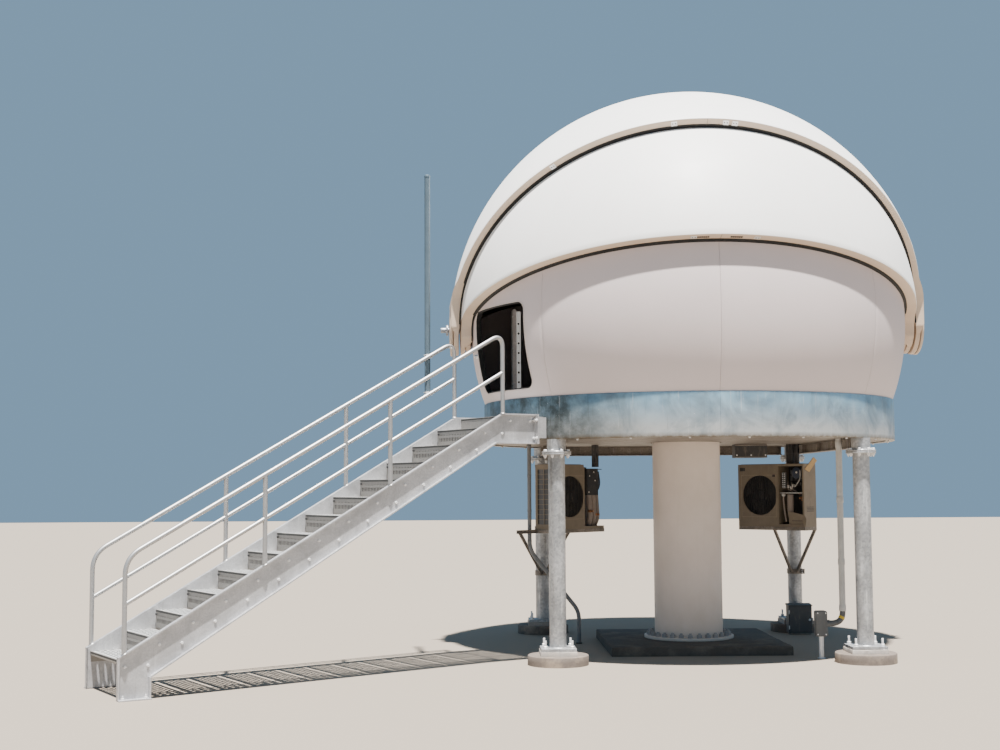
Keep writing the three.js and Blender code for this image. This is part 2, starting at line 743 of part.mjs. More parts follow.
function buildDeck(parent) {
  const hole = DECK_HOLE_R;
  const bottom = BAND_BOTTOM_Z + BAND_T + GAP;
  const lowerEdge = BAND_R - BAND_T - 8;
  const upperEdge = BAND_R - BAND_FLANGE - 5;
  const plate = (outer, low, high) =>
    cylinder(0, 0, low, high, outer, 60).subtract(cylinder(0, 0, low - 5, high + 5, hole, 24));
  const floor = plate(upperEdge, BAND_TOP_Z - 12, BAND_TOP_Z);
  const soffit = plate(lowerEdge, bottom, bottom + 6);
  const webs = [];
  for (const offset of [-700, 700]) {
    const [low, high] = [bottom + 4, BAND_TOP_Z - 10];
    webs.push(block([-1950, offset - 5, low], [1950, offset + 5, high]));
    webs.push(block([offset - 5, -1950, low], [offset + 5, 1950, high]));
  }
  const offset = LEG_OFFSET - 25;
  const beams = [
    deckBeam("x", offset, bottom + 3),
    deckBeam("y", -offset, bottom + 3),
    deckBeam("y", offset, bottom + 3),
  ];
  const box = block(DECK_BOX.low, [...DECK_BOX.high, bottom + 3]);
  node(parent, "deck", join([floor, soffit, ...webs, ...beams, box]), "deck");
}

function buildLegs(parent) {
  const corners = { far_right: [1, 1], far_left: [-1, 1], near_left: [-1, -1], near_right: [1, -1] };
  for (const [name, [i, j]] of Object.entries(corners)) {
    const [x, y] = [i * LEG_OFFSET, j * LEG_OFFSET];
    node(parent, `footing_${name}`, cylinder(x, y, 0, FOOTING_H, FOOTING_R, 28), "concrete");
    const half = BASE_PLATE / 2;
    const low = FOOTING_H + GAP;
    const plateTop = low + GROUT_H + PLATE_T;
    const grout = block([x - half - 8, y - half - 8, low], [x + half + 8, y + half + 8, low + GROUT_H]);
    const plate = block([x - half, y - half, low + GROUT_H - 2], [x + half, y + half, plateTop]);
    const pipe = cylinder(x, y, plateTop - 2, LEG_TOP_Z - 5, LEG_R, LEG_SIDES);
    const flange = cylinder(x, y, LEG_TOP_Z - HEAD_FLANGE_T, LEG_TOP_Z, HEAD_FLANGE_R, 20);
    node(parent, `leg_${name}`, join([grout, plate, pipe, flange]), "galvanised");
  }
}

function buildPier(parent) {
  const half = PAD / 2;
  node(parent, "pier_pad", block([-half, -half, 0], [half, half, PAD_H]), "concrete");
  const low = PAD_H + GAP;
  const column = cylinder(0, 0, low, PIER_TOP_Z, PIER_R, 36);
  const flange = cylinder(0, 0, low, low + PIER_FLANGE_T, PIER_FLANGE_R, 36);
  const cap = cylinder(0, 0, PIER_TOP_Z - 25, PIER_TOP_Z, PIER_R + 20, 36);
  const layers = [
    [low, PIER_FLANGE_R + 12, 41],
    [low + PIER_LUG_H, PIER_R + 30, 54],
  ];
  const loops = layers.map(([z, outer, half]) => [
    new THREE.Vector3(PIER_R - 10, -half, z),
    new THREE.Vector3(outer, -half, z),
    new THREE.Vector3(outer, half, z),
    new THREE.Vector3(PIER_R - 10, half, z),
  ]);
  const lug = loft(loops, loops[0].map((point) => new THREE.Vector2(point.x, point.y)));
  const lugs = Array.from({ length: 4 }, (_, i) => lug.rotate([0, 0, PIER_LUG_AZIMUTH + i * 90]));
  node(parent, "pier", join([column, flange, cap, ...lugs]), "pier");
}

// Stair. In its own frame X runs outwards from the dome's axis and Y across the stair.

function topEdge(distance) {
  return LAST_POST_Z - Math.max(0, distance - LAST_POST) * STAIR_SLOPE;
}

function stringer(side) {
  const plumb = CHANNEL_H / Math.cos(Math.atan(STAIR_SLOPE));
  const levelBottom = LAST_POST_Z - CHANNEL_H;
  const lowerBend = LAST_POST + (plumb - CHANNEL_H) / STAIR_SLOPE;
  const toe = LAST_POST + (LAST_POST_Z - plumb - TOE_Z) / STAIR_SLOPE;
  const inner = BAND_R + LANDING_GAP;
  const outline = [
    [STAIR_END, 0],
    [STAIR_END, topEdge(STAIR_END)],
    [LAST_POST, LAST_POST_Z],
    [inner, LAST_POST_Z],
    [inner, levelBottom],
    [lowerBend, levelBottom],
    [toe, TOE_Z],
    [toe, 0],
  ];
  const t = CHANNEL_FLANGE_T;
  const slanted = t / Math.cos(Math.atan(STAIR_SLOPE));
  const upper = [
    [STAIR_END, topEdge(STAIR_END) - slanted],
    [STAIR_END, topEdge(STAIR_END)],
    [LAST_POST, LAST_POST_Z],
    [inner, LAST_POST_Z],
    [inner, LAST_POST_Z - t],
    [LAST_POST, LAST_POST_Z - t],
  ];
  const lower = [
    [inner, levelBottom],
    [inner, levelBottom + t],
    [lowerBend, levelBottom + t],
    [toe, TOE_Z + slanted],
    [toe, TOE_Z],
    [lowerBend, levelBottom],
  ];
  const webFace = STAIR_HALF - CHANNEL_FLANGE / 2;
  const web = sidePlate(outline, webFace, webFace + CHANNEL_T);
  const flanges = [upper, lower].map((points) =>
    sidePlate(points, webFace + CHANNEL_T / 2, webFace + CHANNEL_FLANGE),
  );
  const foot = block([toe, webFace, 0], [STAIR_END, webFace + CHANNEL_FLANGE, 12]);
  const footPost = block([toe, webFace, 0], [toe + t, webFace + CHANNEL_FLANGE, TOE_Z + 6]);
  const endPlate = block(
    [inner - 2, webFace, levelBottom],
    [inner + 10, webFace + CHANNEL_FLANGE + 10, LAST_POST_Z],
  );
  const cleat = block(
    [BAND_R - 150, webFace + CHANNEL_T + 20, levelBottom + 60],
    [inner + 5, webFace + CHANNEL_T + 36, LAST_POST_Z - 30],
  );
  const solid = join([web, ...flanges, foot, footPost, endPlate, cleat]);
  return side > 0 ? solid : solid.mirror([0, 1, 0]);
}

function railing(side) {
  const y = side * STAIR_HALF;
  const at = (distance, height) => new THREE.Vector3(distance, y, topEdge(distance) + height);
  const foot = (distance) => at(distance, -2);
  const [upper, lower] = [LAST_POST, FIRST_POST];
  const [highCorner, lowCorner] = [at(upper, RAIL_H), at(lower, RAIL_H)];
  const path = [
    foot(upper),
    ...roundCorner(foot(upper), highCorner, lowCorner, RAIL_BEND),
    ...roundCorner(highCorner, lowCorner, foot(lower), RAIL_BEND),
    foot(lower),
  ];
  const parts = [tube(path, RAIL_R)];
  parts.push(tube([at(upper - 8, MID_RAIL_H), at(lower, MID_RAIL_H)], RAIL_R * 0.9));
  for (const k of [1, 2]) {
    const distance = LAST_POST + k * POST_PITCH;
    parts.push(tube([foot(distance), at(distance, RAIL_H)], RAIL_R));
  }
  return join(parts);
}

function tread(index) {
  const front = TOP_NOSING + index * TREAD_RUN;
  const back = front - TREAD_DEPTH;
  const top = TOP_TREAD_Z - index * TREAD_RISE;
  const width = STAIR_HALF - CHANNEL_FLANGE / 2 - GAP;
  const plate = block([back, -width, top - TREAD_T], [front, width, top]);
  const lowest = index === TREADS - 1;
  const riserBottom = lowest ? top - TREAD_T : top - TREAD_RISE + RISER_GAP;
  const riser = block([front - 6, -width, riserBottom], [front, width, top]);
  const carriers = [-1, 1].map((side) => {
    const [a, b] = [side * width, side * (width - 5)];
    return block(
      [back, Math.min(a, b), top - CARRIER_H],
      [front - 3, Math.max(a, b), top - TREAD_T + 3],
    );
  });
  return join([plate, riser, ...carriers]);
}

function buildStair(parent) {
  const stair = new THREE.Group();
  stair.rotation.z = STAIR_AZIMUTH * RADIANS;
  parent.add(stair);
  const bandOutside = cylinder(0, 0, 0, DOME_Z, BAND_R + GAP, 360 / STEP);
  for (const [name, side] of [["near", 1], ["far", -1]]) {
    const turned = stringer(side).rotate([0, 0, STAIR_AZIMUTH]);
    node(parent, `stringer_${name}`, turned.subtract(bandOutside), "galvanised");
    node(stair, `railing_${name}`, railing(side).subtract(underEdge()), "rail");
  }
  for (let i = 0; i < TREADS; i++) {
    const number = String(TREADS - i).padStart(2, "0");
    node(stair, `tread_${number}`, tread(i), "galvanised");
  }
  const width = STAIR_HALF - CHANNEL_FLANGE / 2 - GAP;
  const outer = LANDING_NOSING;
  const plate = block([1700, -width, LANDING_Z - TREAD_T], [outer, width, LANDING_Z]);
  const riser = block([outer - 6, -width, TOP_TREAD_Z + RISER_GAP], [outer, width, LANDING_Z]);
  const solid = join([plate, riser]).rotate([0, 0, STAIR_AZIMUTH]);
  node(parent, "landing", solid.subtract(bandOutside), "galvanised");
}

// Everything below the stringers' top edge, with a gap, so that the posts stand on it.
function underEdge() {
  const [outer, inner] = [STAIR_END + 200, LAST_POST - 300];
  const edge = [
    [outer, topEdge(outer) + GAP],
    [LAST_POST, LAST_POST_Z + GAP],
    [inner, LAST_POST_Z + GAP],
    [inner, -500],
    [outer, -500],
  ];
  return sidePlate(edge, -700, 700);
}

function buildMast(parent) {
  const stair = new THREE.Group();
  stair.rotation.z = STAIR_AZIMUTH * RADIANS;
  parent.add(stair);
  const y = -STAIR_HALF - RAIL_R - MAST_R - 10;
  const pole = cylinder(MAST_DISTANCE, y, MAST_BOTTOM_Z, MAST_TOP_Z, MAST_R, 16);
  const clamps = [RAIL_H, MID_RAIL_H].map((height) => {
    const z = topEdge(MAST_DISTANCE) + height;
    return block(
      [MAST_DISTANCE - 35, y - MAST_R - 8, z - 18],
      [MAST_DISTANCE + 35, -STAIR_HALF - RAIL_R - GAP * 2, z + 18],
    );
  });
  node(stair, "mast", join([pole, ...clamps]), "galvanised");
}

// Cooling units and their brackets

// In a unit's own frame X is the direction that it faces and +Y is its right-hand end.
function coolingUnit(ducts) {
  const [w, d, h] = [UNIT_W / 2, UNIT_D / 2, UNIT_H];
  const fanY = 15 - UNIT_BAY / 2;
  const body = block([-d, -w, 0], [d, w, h]);
  const fan = crossCylinder(d - 60, d + 20, fanY, h / 2, UNIT_FAN_R, 28);
  const bay = block([-d + 25, w - UNIT_BAY + 10, 30], [d + 20, w - 20, h - 25]);
  const hub = crossCylinder(d - 70, d - 25, fanY, h / 2, 60, 12);
  const deck = BAND_BOTTOM_Z + BAND_T - UNIT_Z;
  const rising = ducts.map(([x, y, halfX, halfY]) =>
    block([x - halfX, y - halfY, h - 30], [x + halfX, y + halfY, deck]),
  );
  return body.subtract(fan).subtract(bay).add(join([hub, ...rising]));
}

// The frame under a unit, with arms and braces to two collars round the leg beside it.
function unitBracket(leg, unit, facing, braceEnds) {
  const azimuth = facing * RADIANS;
  const [dx, dy] = [leg[0] - unit[0], leg[1] - unit[1]];
  const legX = dx * Math.cos(azimuth) + dy * Math.sin(azimuth);
  const legY = -dx * Math.sin(azimuth) + dy * Math.cos(azimuth);
  const [w, d] = [UNIT_W / 2, UNIT_D / 2];
  const top = -GAP;
  const frame = [
    block([d - 40, -w, top - 40], [d, w, top]),
    block([-d, Math.min(-w, braceEnds[0] - 30), top - 40], [-d + 40, w, top]),
    block([-d, -w, top - 40], [d, -w + 40, top]),
    block([-d, w - 40, top - 40], [d, w, top]),
  ];
  const collar = (z) => cylinder(legX, legY, z - 30, z + 30, LEG_R + 10, LEG_SIDES);
  const strut = (low, x, y, high) => {
    const away = new THREE.Vector2(x - legX, y - legY).setLength(LEG_R + 5);
    const start = new THREE.Vector3(legX + away.x, legY + away.y, low);
    return tube([start, new THREE.Vector3(x, y, high)], 20, 6);
  };
  const arms = [-1, 1].map((side) => strut(top - 20, d - 20, side * (w - 20), top - 20));
  const braces = braceEnds.map((y) => strut(BRACE_FOOT, -d + 20, y, top - 25));
  const boreR = (LEG_R + GAP) / Math.cos(Math.PI / LEG_SIDES);
  const bore = cylinder(legX, legY, BRACE_FOOT - 100, 100, boreR, LEG_SIDES);
  const collars = [collar(top - 25), collar(BRACE_FOOT)];
  return join([...frame, ...collars, ...arms, ...braces]).subtract(bore);
}

function buildUnits(parent) {
  for (const [name, [x, y, facing]] of Object.entries(UNITS)) {
    const group = new THREE.Group();
    group.position.set(x, y, UNIT_Z);
    group.rotation.z = facing * RADIANS;
    parent.add(group);
    node(group, `cooling_unit_${name}`, coolingUnit(DUCTS[name]), "unit");
    const leg = [name === "left" ? -LEG_OFFSET : LEG_OFFSET, LEG_OFFSET];
    const bracket = unitBracket(leg, [x, y], facing, BRACES[name]);
    node(group, `unit_bracket_${name}`, bracket, "deck");
  }
}

function buildConduit(parent) {
  const [x, y] = CONDUIT;
  const [jx, jy] = JUNCTION;
  const [jw, jd, jh] = JUNCTION_SIZE;
  const point = (px, py, pz) => new THREE.Vector3(px, py, pz);
  const corner = point(x, y, JUNCTION_Z + jh / 2);
  const top = point(x, y, BAND_BOTTOM_Z + BAND_T);
  const into = point(jx, jy, JUNCTION_Z + jh / 2);
  const pipe = tube([top, ...roundCorner(top, corner, into, 120), into], CONDUIT_R, 10);
  const box = block(
    [jx - jw / 2, jy - jd / 2, JUNCTION_Z],
    [jx + jw / 2, jy + jd / 2, JUNCTION_Z + jh],
  );
  const post = cylinder(jx, jy, 0, JUNCTION_Z + 10, JUNCTION_POST_R, 12);
  node(parent, "conduit", join([pipe, box, post]), "deck");
}

// The left conduit runs down from the deck, slants under the cooling unit and ends on the ground.
function buildLeftConduit(parent) {
  const points = LEFT_CONDUIT.map(([x, y, z]) => new THREE.Vector3(x, y, z));
  const [top, bend, second, foot] = points;
  const route = [
    top,
    ...roundCorner(top, bend, second, 110),
    ...roundCorner(bend, second, foot, 90),
    foot,
  ];
  node(parent, "conduit_left", tube(route, LEFT_CONDUIT_R, 10), "deck");
}

function buildEnclosure(parent) {
  const [w, d, h] = ENCLOSURE_SIZE;
  const [x, y] = [ENCLOSURE_X, LEG_OFFSET - FOOTING_R - GAP - d / 2];
  const body = block([x - w / 2, y - d / 2, 0], [x + w / 2, y + d / 2, h]);
  const hood = block([x - w / 2 - 8, y - d / 2 - 15, h - 10], [x + w / 2 + 8, y + d / 2, h + 12]);
  node(parent, "enclosure", body.add(hood), "unit");
}

const dome = new THREE.Group();
dome.name = "observatory_dome";
buildPier(dome);
buildLegs(dome);
buildBand(dome);
buildDeck(dome);
buildWall(dome);
buildDoorFrame(dome);
buildDoorLeaf(dome);
buildUpright(dome);
buildPivots(dome);
buildShutters(dome);
buildStair(dome);
buildMast(dome);
buildUnits(dome);
buildConduit(dome);
buildLeftConduit(dome);
buildEnclosure(dome);

export default dome;
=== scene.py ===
import math

import bpy
import numpy as np
from mathutils import Matrix, Vector


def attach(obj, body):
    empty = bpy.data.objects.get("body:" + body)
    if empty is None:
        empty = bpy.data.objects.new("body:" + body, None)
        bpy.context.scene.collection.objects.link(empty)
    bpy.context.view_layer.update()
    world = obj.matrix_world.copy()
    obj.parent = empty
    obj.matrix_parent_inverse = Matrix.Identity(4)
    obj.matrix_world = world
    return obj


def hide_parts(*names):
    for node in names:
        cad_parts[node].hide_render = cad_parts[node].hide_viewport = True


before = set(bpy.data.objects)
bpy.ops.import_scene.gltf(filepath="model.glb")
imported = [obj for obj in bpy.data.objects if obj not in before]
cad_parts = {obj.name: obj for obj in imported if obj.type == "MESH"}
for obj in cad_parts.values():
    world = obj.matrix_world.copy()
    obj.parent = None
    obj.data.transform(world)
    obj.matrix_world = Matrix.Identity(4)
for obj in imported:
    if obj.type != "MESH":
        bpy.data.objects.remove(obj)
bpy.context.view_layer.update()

# Dimensions in metres, the same as the frame's

# Between pieces that stand on one another
GAP = 0.0003
DOME_Z = 3.530
CENTRE = np.array([0.0, 0.0, DOME_Z])
WALL_R = 2.400
WALL_T = 0.020
WALL_BOTTOM_Z = 2.686
WALL_BOTTOM = math.degrees(math.asin((WALL_BOTTOM_Z - DOME_Z) / WALL_R))
WALL_RIM = 17.5
SHELL_T = 0.012
LIP_T = 0.016
CROWN_GAP = 0.003
CROWN_FLANGE = 0.060
EAR = 6.4
EAR_GAP = 0.6
PIN_HOLE = 0.0310
SKIN_START = EAR + EAR_GAP
# Each shutter: side, outside radius, lower and upper edge in degrees, inner edge of the lip,
# crown flange, and the ears' inner and outer radius
SHUTTERS = {
    "near_middle": (-1, 2.535, 14.9, 51.2, 2.412, False, (2.484, 2.535)),
    "near_top": (-1, 2.633, 48.4, 90.0, 2.547, True, (2.560, 2.613)),
    "far_middle": (1, 2.535, 14.9, 51.2, 2.412, False, (2.424, 2.476)),
    "far_top": (1, 2.633, 48.4, 90.0, 2.547, True, (2.621, 2.652)),
}

# A lip's run past the pivot, in degrees: its front, its bend and its back, and where along it the
# lip starts to thin, is thin and ends
CHEEK_FRONT = 7.3
CHEEK_BEND = 4.5
CHEEK_BACK = SKIN_START - 0.35
CHEEK_WIDE = 44.0
CHEEK_THIN = 64.0
CHEEK_END = 66.0
# The radius that the top shutters' lips swell to beside the pivots, and over which degrees from them
FLARE = 2.622
FLARE_FULL = 8.5
FLARE_END = 16.0

DOOR_AZIMUTH = 207.1
DOOR_W = 0.985
DOOR_H = 0.892
DOOR_BOTTOM_Z = 2.776
DOOR_MIDDLE_Z = DOOR_BOTTOM_Z + DOOR_H / 2
DOOR_CORNER = 0.100
DOOR_EXTRA = 0.130
DOOR_SIDE_STEPS = 10
FRAME_DEPTH = 0.040
LEAF_T = 0.036
LEAF_LAP = 0.030
LEAF_CLEARANCE = 0.008
LEAF_OPEN = 100.0
LEAF_OUTER = WALL_R - WALL_T - FRAME_DEPTH - LEAF_CLEARANCE
HINGE_SETBACK = 0.110
HINGE_X = math.sqrt(LEAF_OUTER**2 - (DOME_Z - DOOR_BOTTOM_Z + LEAF_LAP) ** 2) - HINGE_SETBACK
HINGE_Y = DOOR_W / 2 + LEAF_LAP + 0.014
HINGES_Z = (DOOR_BOTTOM_Z + 0.120, DOOR_BOTTOM_Z + DOOR_H - 0.180)
BARREL_H = 0.060
UPRIGHT = (1.700, -0.880)
UPRIGHT_TOP_Z = 3.770

BAND_R = 2.260
BAND_BOTTOM_Z = 2.243
BAND_TOP_Z = 2.6857
BAND_T = 0.010
BAND_FLANGE = 0.095

# A shallow box under the deck: its low corner, and the far corner in plan
DECK_BOX = ((0.693, 0.750, 2.097), (1.070, 0.950))

LEG_OFFSET = 1.545
LEG_R = 0.084
HEAD_R = 0.096
HEAD_FLANGE_R = 0.150
HEAD_FLANGE_T = 0.018
HEAD_FLANGE_Z = 2.107
FOOTING_R = 0.306
FOOTING_H = 0.098
BASE_PLATE = 0.350
GROUT_H = 0.045
PLATE_T = 0.025
BEAM_SETBACK = 0.140
BEAM_H = 0.100
CORNERS = {
    "far_right": (1, 1),
    "far_left": (-1, 1),
    "near_left": (-1, -1),
    "near_right": (1, -1),
}

PIER_R = 0.375
PIER_TOP_Z = 2.850
PIER_FLANGE_R = 0.492
PIER_FLANGE_T = 0.032
PAD = 1.900
PAD_H = 0.098

STAIR_AZIMUTH = 211.2
STAIR_HALF = 0.473
STAIR_SLOPE = 0.5583
POST_PITCH = 1.258
LAST_POST = 2.730
LAST_POST_Z = 2.498
STAIR_END = 6.553
TOE_Z = 0.179
CHANNEL_H = 0.300
CHANNEL_T = 0.010
CHANNEL_FLANGE_T = 0.013
CHANNEL_FLANGE = 0.076
LIT_FLANGE = 0.048
LANDING_GAP = 0.070
RAIL_R = 0.021
RAIL_H = 0.800
MID_RAIL_H = 0.410
RAIL_BEND = 0.150
TREADS = 13
TREAD_RUN = 0.297
TREAD_RISE = 0.1684
TREAD_DEPTH = 0.270
TREAD_T = 0.035
CARRIER_H = 0.095
SLOT_LOW = 0.122
SLOT_PITCH = 0.032
RISER_T = 0.0040
RISER_GAP = 0.003
TOP_NOSING = 2.959
TOP_TREAD_Z = 2.354
LANDING_NOSING = 2.675
LANDING_Z = 2.480
TREAD_HALF = STAIR_HALF - CHANNEL_FLANGE / 2 - GAP

MAST_R = 0.030
MAST_DISTANCE = 3.020
MAST_BOTTOM_Z = 2.730
MAST_TOP_Z = 5.060

UNIT_W = 0.900
UNIT_D = 0.270
UNIT_H = 0.740
UNIT_Z = 1.285
UNIT_BAY = 0.330
UNIT_FAN_R = 0.235
UNITS = {"left": (-1.272, 0.520, 315), "right": (1.227, 1.000, 226)}
# Ducts from each unit's bay up to the deck: place in the unit's frame and half sizes
DUCTS = {
    "left": [(0.040, 0.410, 0.033, 0.033)],
    "right": [(0.0, 0.200, 0.035, 0.045), (0.0, 0.285, 0.022, 0.024)],
}
# Where the two braces of each bracket meet its rear bar, across the unit
BRACES = {"left": (-0.730, 0.116), "right": (-0.120, 0.440)}
BRACE_FOOT = -0.560

CONDUIT = (1.410, -1.200)
CONDUIT_R = 0.032
JUNCTION = (1.178, -1.215)
JUNCTION_Z = 0.225
JUNCTION_SIZE = (0.120, 0.090, 0.260)
JUNCTION_POST_R = 0.024
LEFT_CONDUIT_R = 0.025
# The left conduit's corners, down from the deck to the ground
LEFT_CONDUIT = ((-1.748, 0.330, 2.253), (-1.748, 0.330, 1.050), (-1.196, 0.330, 0.364), (-1.196, 0.330, 0.0))

ENCLOSURE_X = 1.498
ENCLOSURE_SIZE = (0.276, 0.150, 0.350)


# The stage: floor, sun and surround, with angles in degrees, and where the photo was taken from
FLOOR_HALF = 60.0
SUN_AZIMUTH = 277
SUN_ELEVATION = 76
SUN_STRENGTH = 18.0
SUN_SIZE = 1.5
SUN_COLOUR = (1.0, 0.965, 0.92)
SKY_COLOUR = (0.42, 0.70, 1.0)
SKY_STRENGTH = 0.50
CAMERA_PLACE = (-2.380, -15.794, 1.772)


# Shapes: points and faces that are collected into one object


def lattice(points, across=False, along=False, caps=False):
    """Quads between rows of points, closed across a row or along the rows if asked."""
    points = np.asarray(points, float)
    rows, columns = points.shape[:2]
    faces = []
    for i in range(rows if along else rows - 1):
        for j in range(columns if across else columns - 1):
            after, right = (i + 1) % rows, (j + 1) % columns
            faces.append((i * columns + j, i * columns + right, after * columns + right, after * columns + j))
    if caps:
        faces.append(tuple(range(columns - 1, -1, -1)))
        faces.append(tuple(range((rows - 1) * columns, rows * columns)))
    return points.reshape(-1, 3), faces


def rectangle(x0, y0, x1, y1):
    """The four corners, starting at the first one and going round."""
    return [(x0, y0), (x1, y0), (x1, y1), (x0, y1)]


def box(low, high):
    (x0, y0, z0), (x1, y1, z1) = low, high
    loop = rectangle(x0, y0, x1, y1)
    rows = [[(x, y, z) for x, y in loop] for z in (z0, z1)]
    return lattice(rows, across=True, caps=True)


def prism(outline, low, high):
    """An outline in the XY plane, raised along Z."""
    rows = [[(x, y, z) for x, y in outline] for z in (low, high)]
    return lattice(rows, across=True, caps=True)


def side_prism(outline, low, high):
    """An outline in the XZ plane, raised along Y."""
    rows = [[(x, y, z) for x, z in outline] for y in (high, low)]
    return lattice(rows, across=True, caps=True)


def circle(radius, sides, start=0.0):
    angles = [start + 2 * math.pi * i / sides for i in range(sides)]
    return [(radius * math.cos(a), radius * math.sin(a)) for a in angles]


def revolve(profile, steps=48, start=0.0, sweep=360.0):
    """A profile of radius and height about Z; a full turn closes on itself."""
    full = abs(sweep) >= 359.9
    angles = np.radians(start + sweep * np.arange(steps if full else steps + 1) / steps)
    rows = [[(r * math.cos(a), r * math.sin(a), z) for r, z in profile] for a in angles]
    return lattice(rows, across=True, along=full, caps=not full)


def disc_profile(radius, low, high, round_off=0.0):
    """Half outline of a round plate or bar, with rounded edges, from the axis outwards."""
    c = round_off
    if c == 0:
        return rectangle(0.0, low, radius, high)
    return [
        (0.0, low),
        (radius - c, low),
        (radius - 0.3 * c, low + 0.3 * c),
        (radius, low + c),
        (radius, high - c),
        (radius - 0.3 * c, high - 0.3 * c),
        (radius - c, high),
        (0.0, high),
    ]


def disc(radius, low, high, round_off=0.0, steps=48):
    return spin_open(disc_profile(radius, low, high, round_off), steps)


def spin_open(profile, steps=48):
    """A profile that starts and ends on the axis, turned about Z into a closed body."""
    angles = 2 * np.pi * np.arange(steps) / steps
    rows = [[(r * math.cos(a), r * math.sin(a), z) for a in angles] for r, z in profile[1:-1]]
    return lattice(rows, across=True, caps=True)


def tube(points, radius, sides=16, caps=True):
    """A round bar along listed points."""
    points = [Vector(p) for p in points]
    count = len(points)
    rows = []
    normal = None
    for i, point in enumerate(points):
        before = (point - points[i - 1]).normalized() if i else None
        after = (points[i + 1] - point).normalized() if i + 1 < count else None
        tangent = (before or after) + (after or before)
        tangent.normalize()
        if normal is None:
            helper = Vector((0, 0, 1)) if abs(tangent.z) < 0.9 else Vector((1, 0, 0))
            normal = tangent.cross(helper).normalized()
        normal = (normal - tangent * normal.dot(tangent)).normalized()
        binormal = tangent.cross(normal)
        stretch = 1.0
        if before and after:
            stretch = 1 / max(0.5, math.sqrt((1 + before.dot(after)) / 2))
        row = []
        for x, y in circle(radius, sides):
            row.append(tuple(point + (normal * x + binormal * y) * stretch))
        rows.append(row)
    return lattice(rows, across=True, caps=caps)


def rounded_corner(before, corner, after, size, steps=8):
    before, corner, after = Vector(before), Vector(corner), Vector(after)
    start = corner + (before - corner).normalized() * size
    end = corner + (after - corner).normalized() * size
    result = []
    for i in range(steps + 1):
        t = i / steps
        result.append(start * (1 - t) ** 2 + corner * 2 * t * (1 - t) + end * t**2)
    return result


def bent_tube(corners, bend, steps, radius, sides):
    """A tube along two straight runs with a rounded corner between them."""
    start, _, end = corners
    return tube([start, *rounded_corner(*corners, bend, steps), end], radius, sides)


def plate(outline, holes, thickness):
    """A flat plate in the XY plane with holes through it, centred on z = 0."""
    curve = bpy.data.curves.new("outline", "CURVE")
    curve.dimensions = "2D"
    curve.fill_mode = "BOTH"
    curve.extrude = thickness / 2
    for loop in [outline, *holes]:
        spline = curve.splines.new("POLY")
        spline.points.add(len(loop) - 1)
        for point, (x, y) in zip(spline.points, loop):
            point.co = (x, y, 0, 1)
        spline.use_cyclic_u = True
    holder = bpy.data.objects.new("outline", curve)
    mesh = holder.to_mesh()
    points = np.array([tuple(v.co) for v in mesh.vertices])
    faces = [tuple(p.vertices) for p in mesh.polygons]
    holder.to_mesh_clear()
    bpy.data.objects.remove(holder)
    bpy.data.curves.remove(curve)
    return points, faces


def placed(part, matrix):
    points, faces = part
    m = np.array(matrix)
    return np.asarray(points) @ m[:3, :3].T + m[:3, 3], faces


def shifted(part, x=0.0, y=0.0, z=0.0):
    return placed(part, Matrix.Translation((x, y, z)))


def turned(part, azimuth):
    return placed(part, Matrix.Rotation(math.radians(azimuth), 4, "Z"))


def towards(part, place, axis):
    """Stands a part that was made about +Z at a place, along an axis."""
    spin = Vector((0, 0, 1)).rotation_difference(Vector(axis).normalized()).to_matrix().to_4x4()
    return placed(part, Matrix.Translation(place) @ spin)


def merged(*parts):
    points, faces, count = [], [], 0
    for some, quads in parts:
        points.append(np.asarray(some))
        faces.extend(tuple(count + i for i in quad) for quad in quads)
        count += len(some)
    return np.concatenate(points), faces


def hex_head(width, height):
    """A hexagon head or nut on its washer, about +Z from z = 0."""
    washer = disc(width * 0.62, 0, height * 0.2, height * 0.05, 20)
    r = width / math.sqrt(3)
    rows = []
    for z, share in ((height * 0.2, 1.0), (height * 0.88, 1.0), (height, 0.86)):
        rows.append([(x * share, y * share, z) for x, y in circle(r, 6)])
    return merged(washer, lattice(rows, across=True, caps=True))


def anchor(width, height, stud):
    """A nut and washer with the end of its stud."""
    return merged(hex_head(width, height), disc(width * 0.3, 0, height + stud, width * 0.05, 12))


class Piece:
    """Collects parts with their materials and makes one object of them."""

    def __init__(self, name):
        self.name = name
        self.points = []
        self.faces = []
        self.kinds = []
        self.count = 0

    def add(self, part, material):
        points, faces = part
        self.points.append(np.asarray(points, float))
        self.faces.extend(tuple(self.count + i for i in face) for face in faces)
        self.kinds.extend([material] * len(faces))
        self.count += len(points)
        return self

    def make(self, body, replaces=(), bevel=0.0, angle=35.0):
        mesh = bpy.data.meshes.new(self.name)
        mesh.from_pydata(np.concatenate(self.points).tolist(), [], self.faces)
        materials = list(dict.fromkeys(self.kinds))
        for material in materials:
            mesh.materials.append(material)
        mesh.polygons.foreach_set("material_index", [materials.index(kind) for kind in self.kinds])
        mesh.shade_smooth()
        mesh.validate()
        piece = bpy.data.objects.new(self.name, mesh)
        bpy.context.scene.collection.objects.link(piece)
        if bevel:
            edges = piece.modifiers.new("edges", "BEVEL")
            edges.width = bevel
            edges.segments = 2
            edges.limit_method = "ANGLE"
            edges.angle_limit = math.radians(angle)
            edges.harden_normals = True
        else:
            mesh.set_sharp_from_angle(angle=math.radians(angle))
        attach(piece, body)
        if replaces:
            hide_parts(*replaces)
        return piece


# Materials


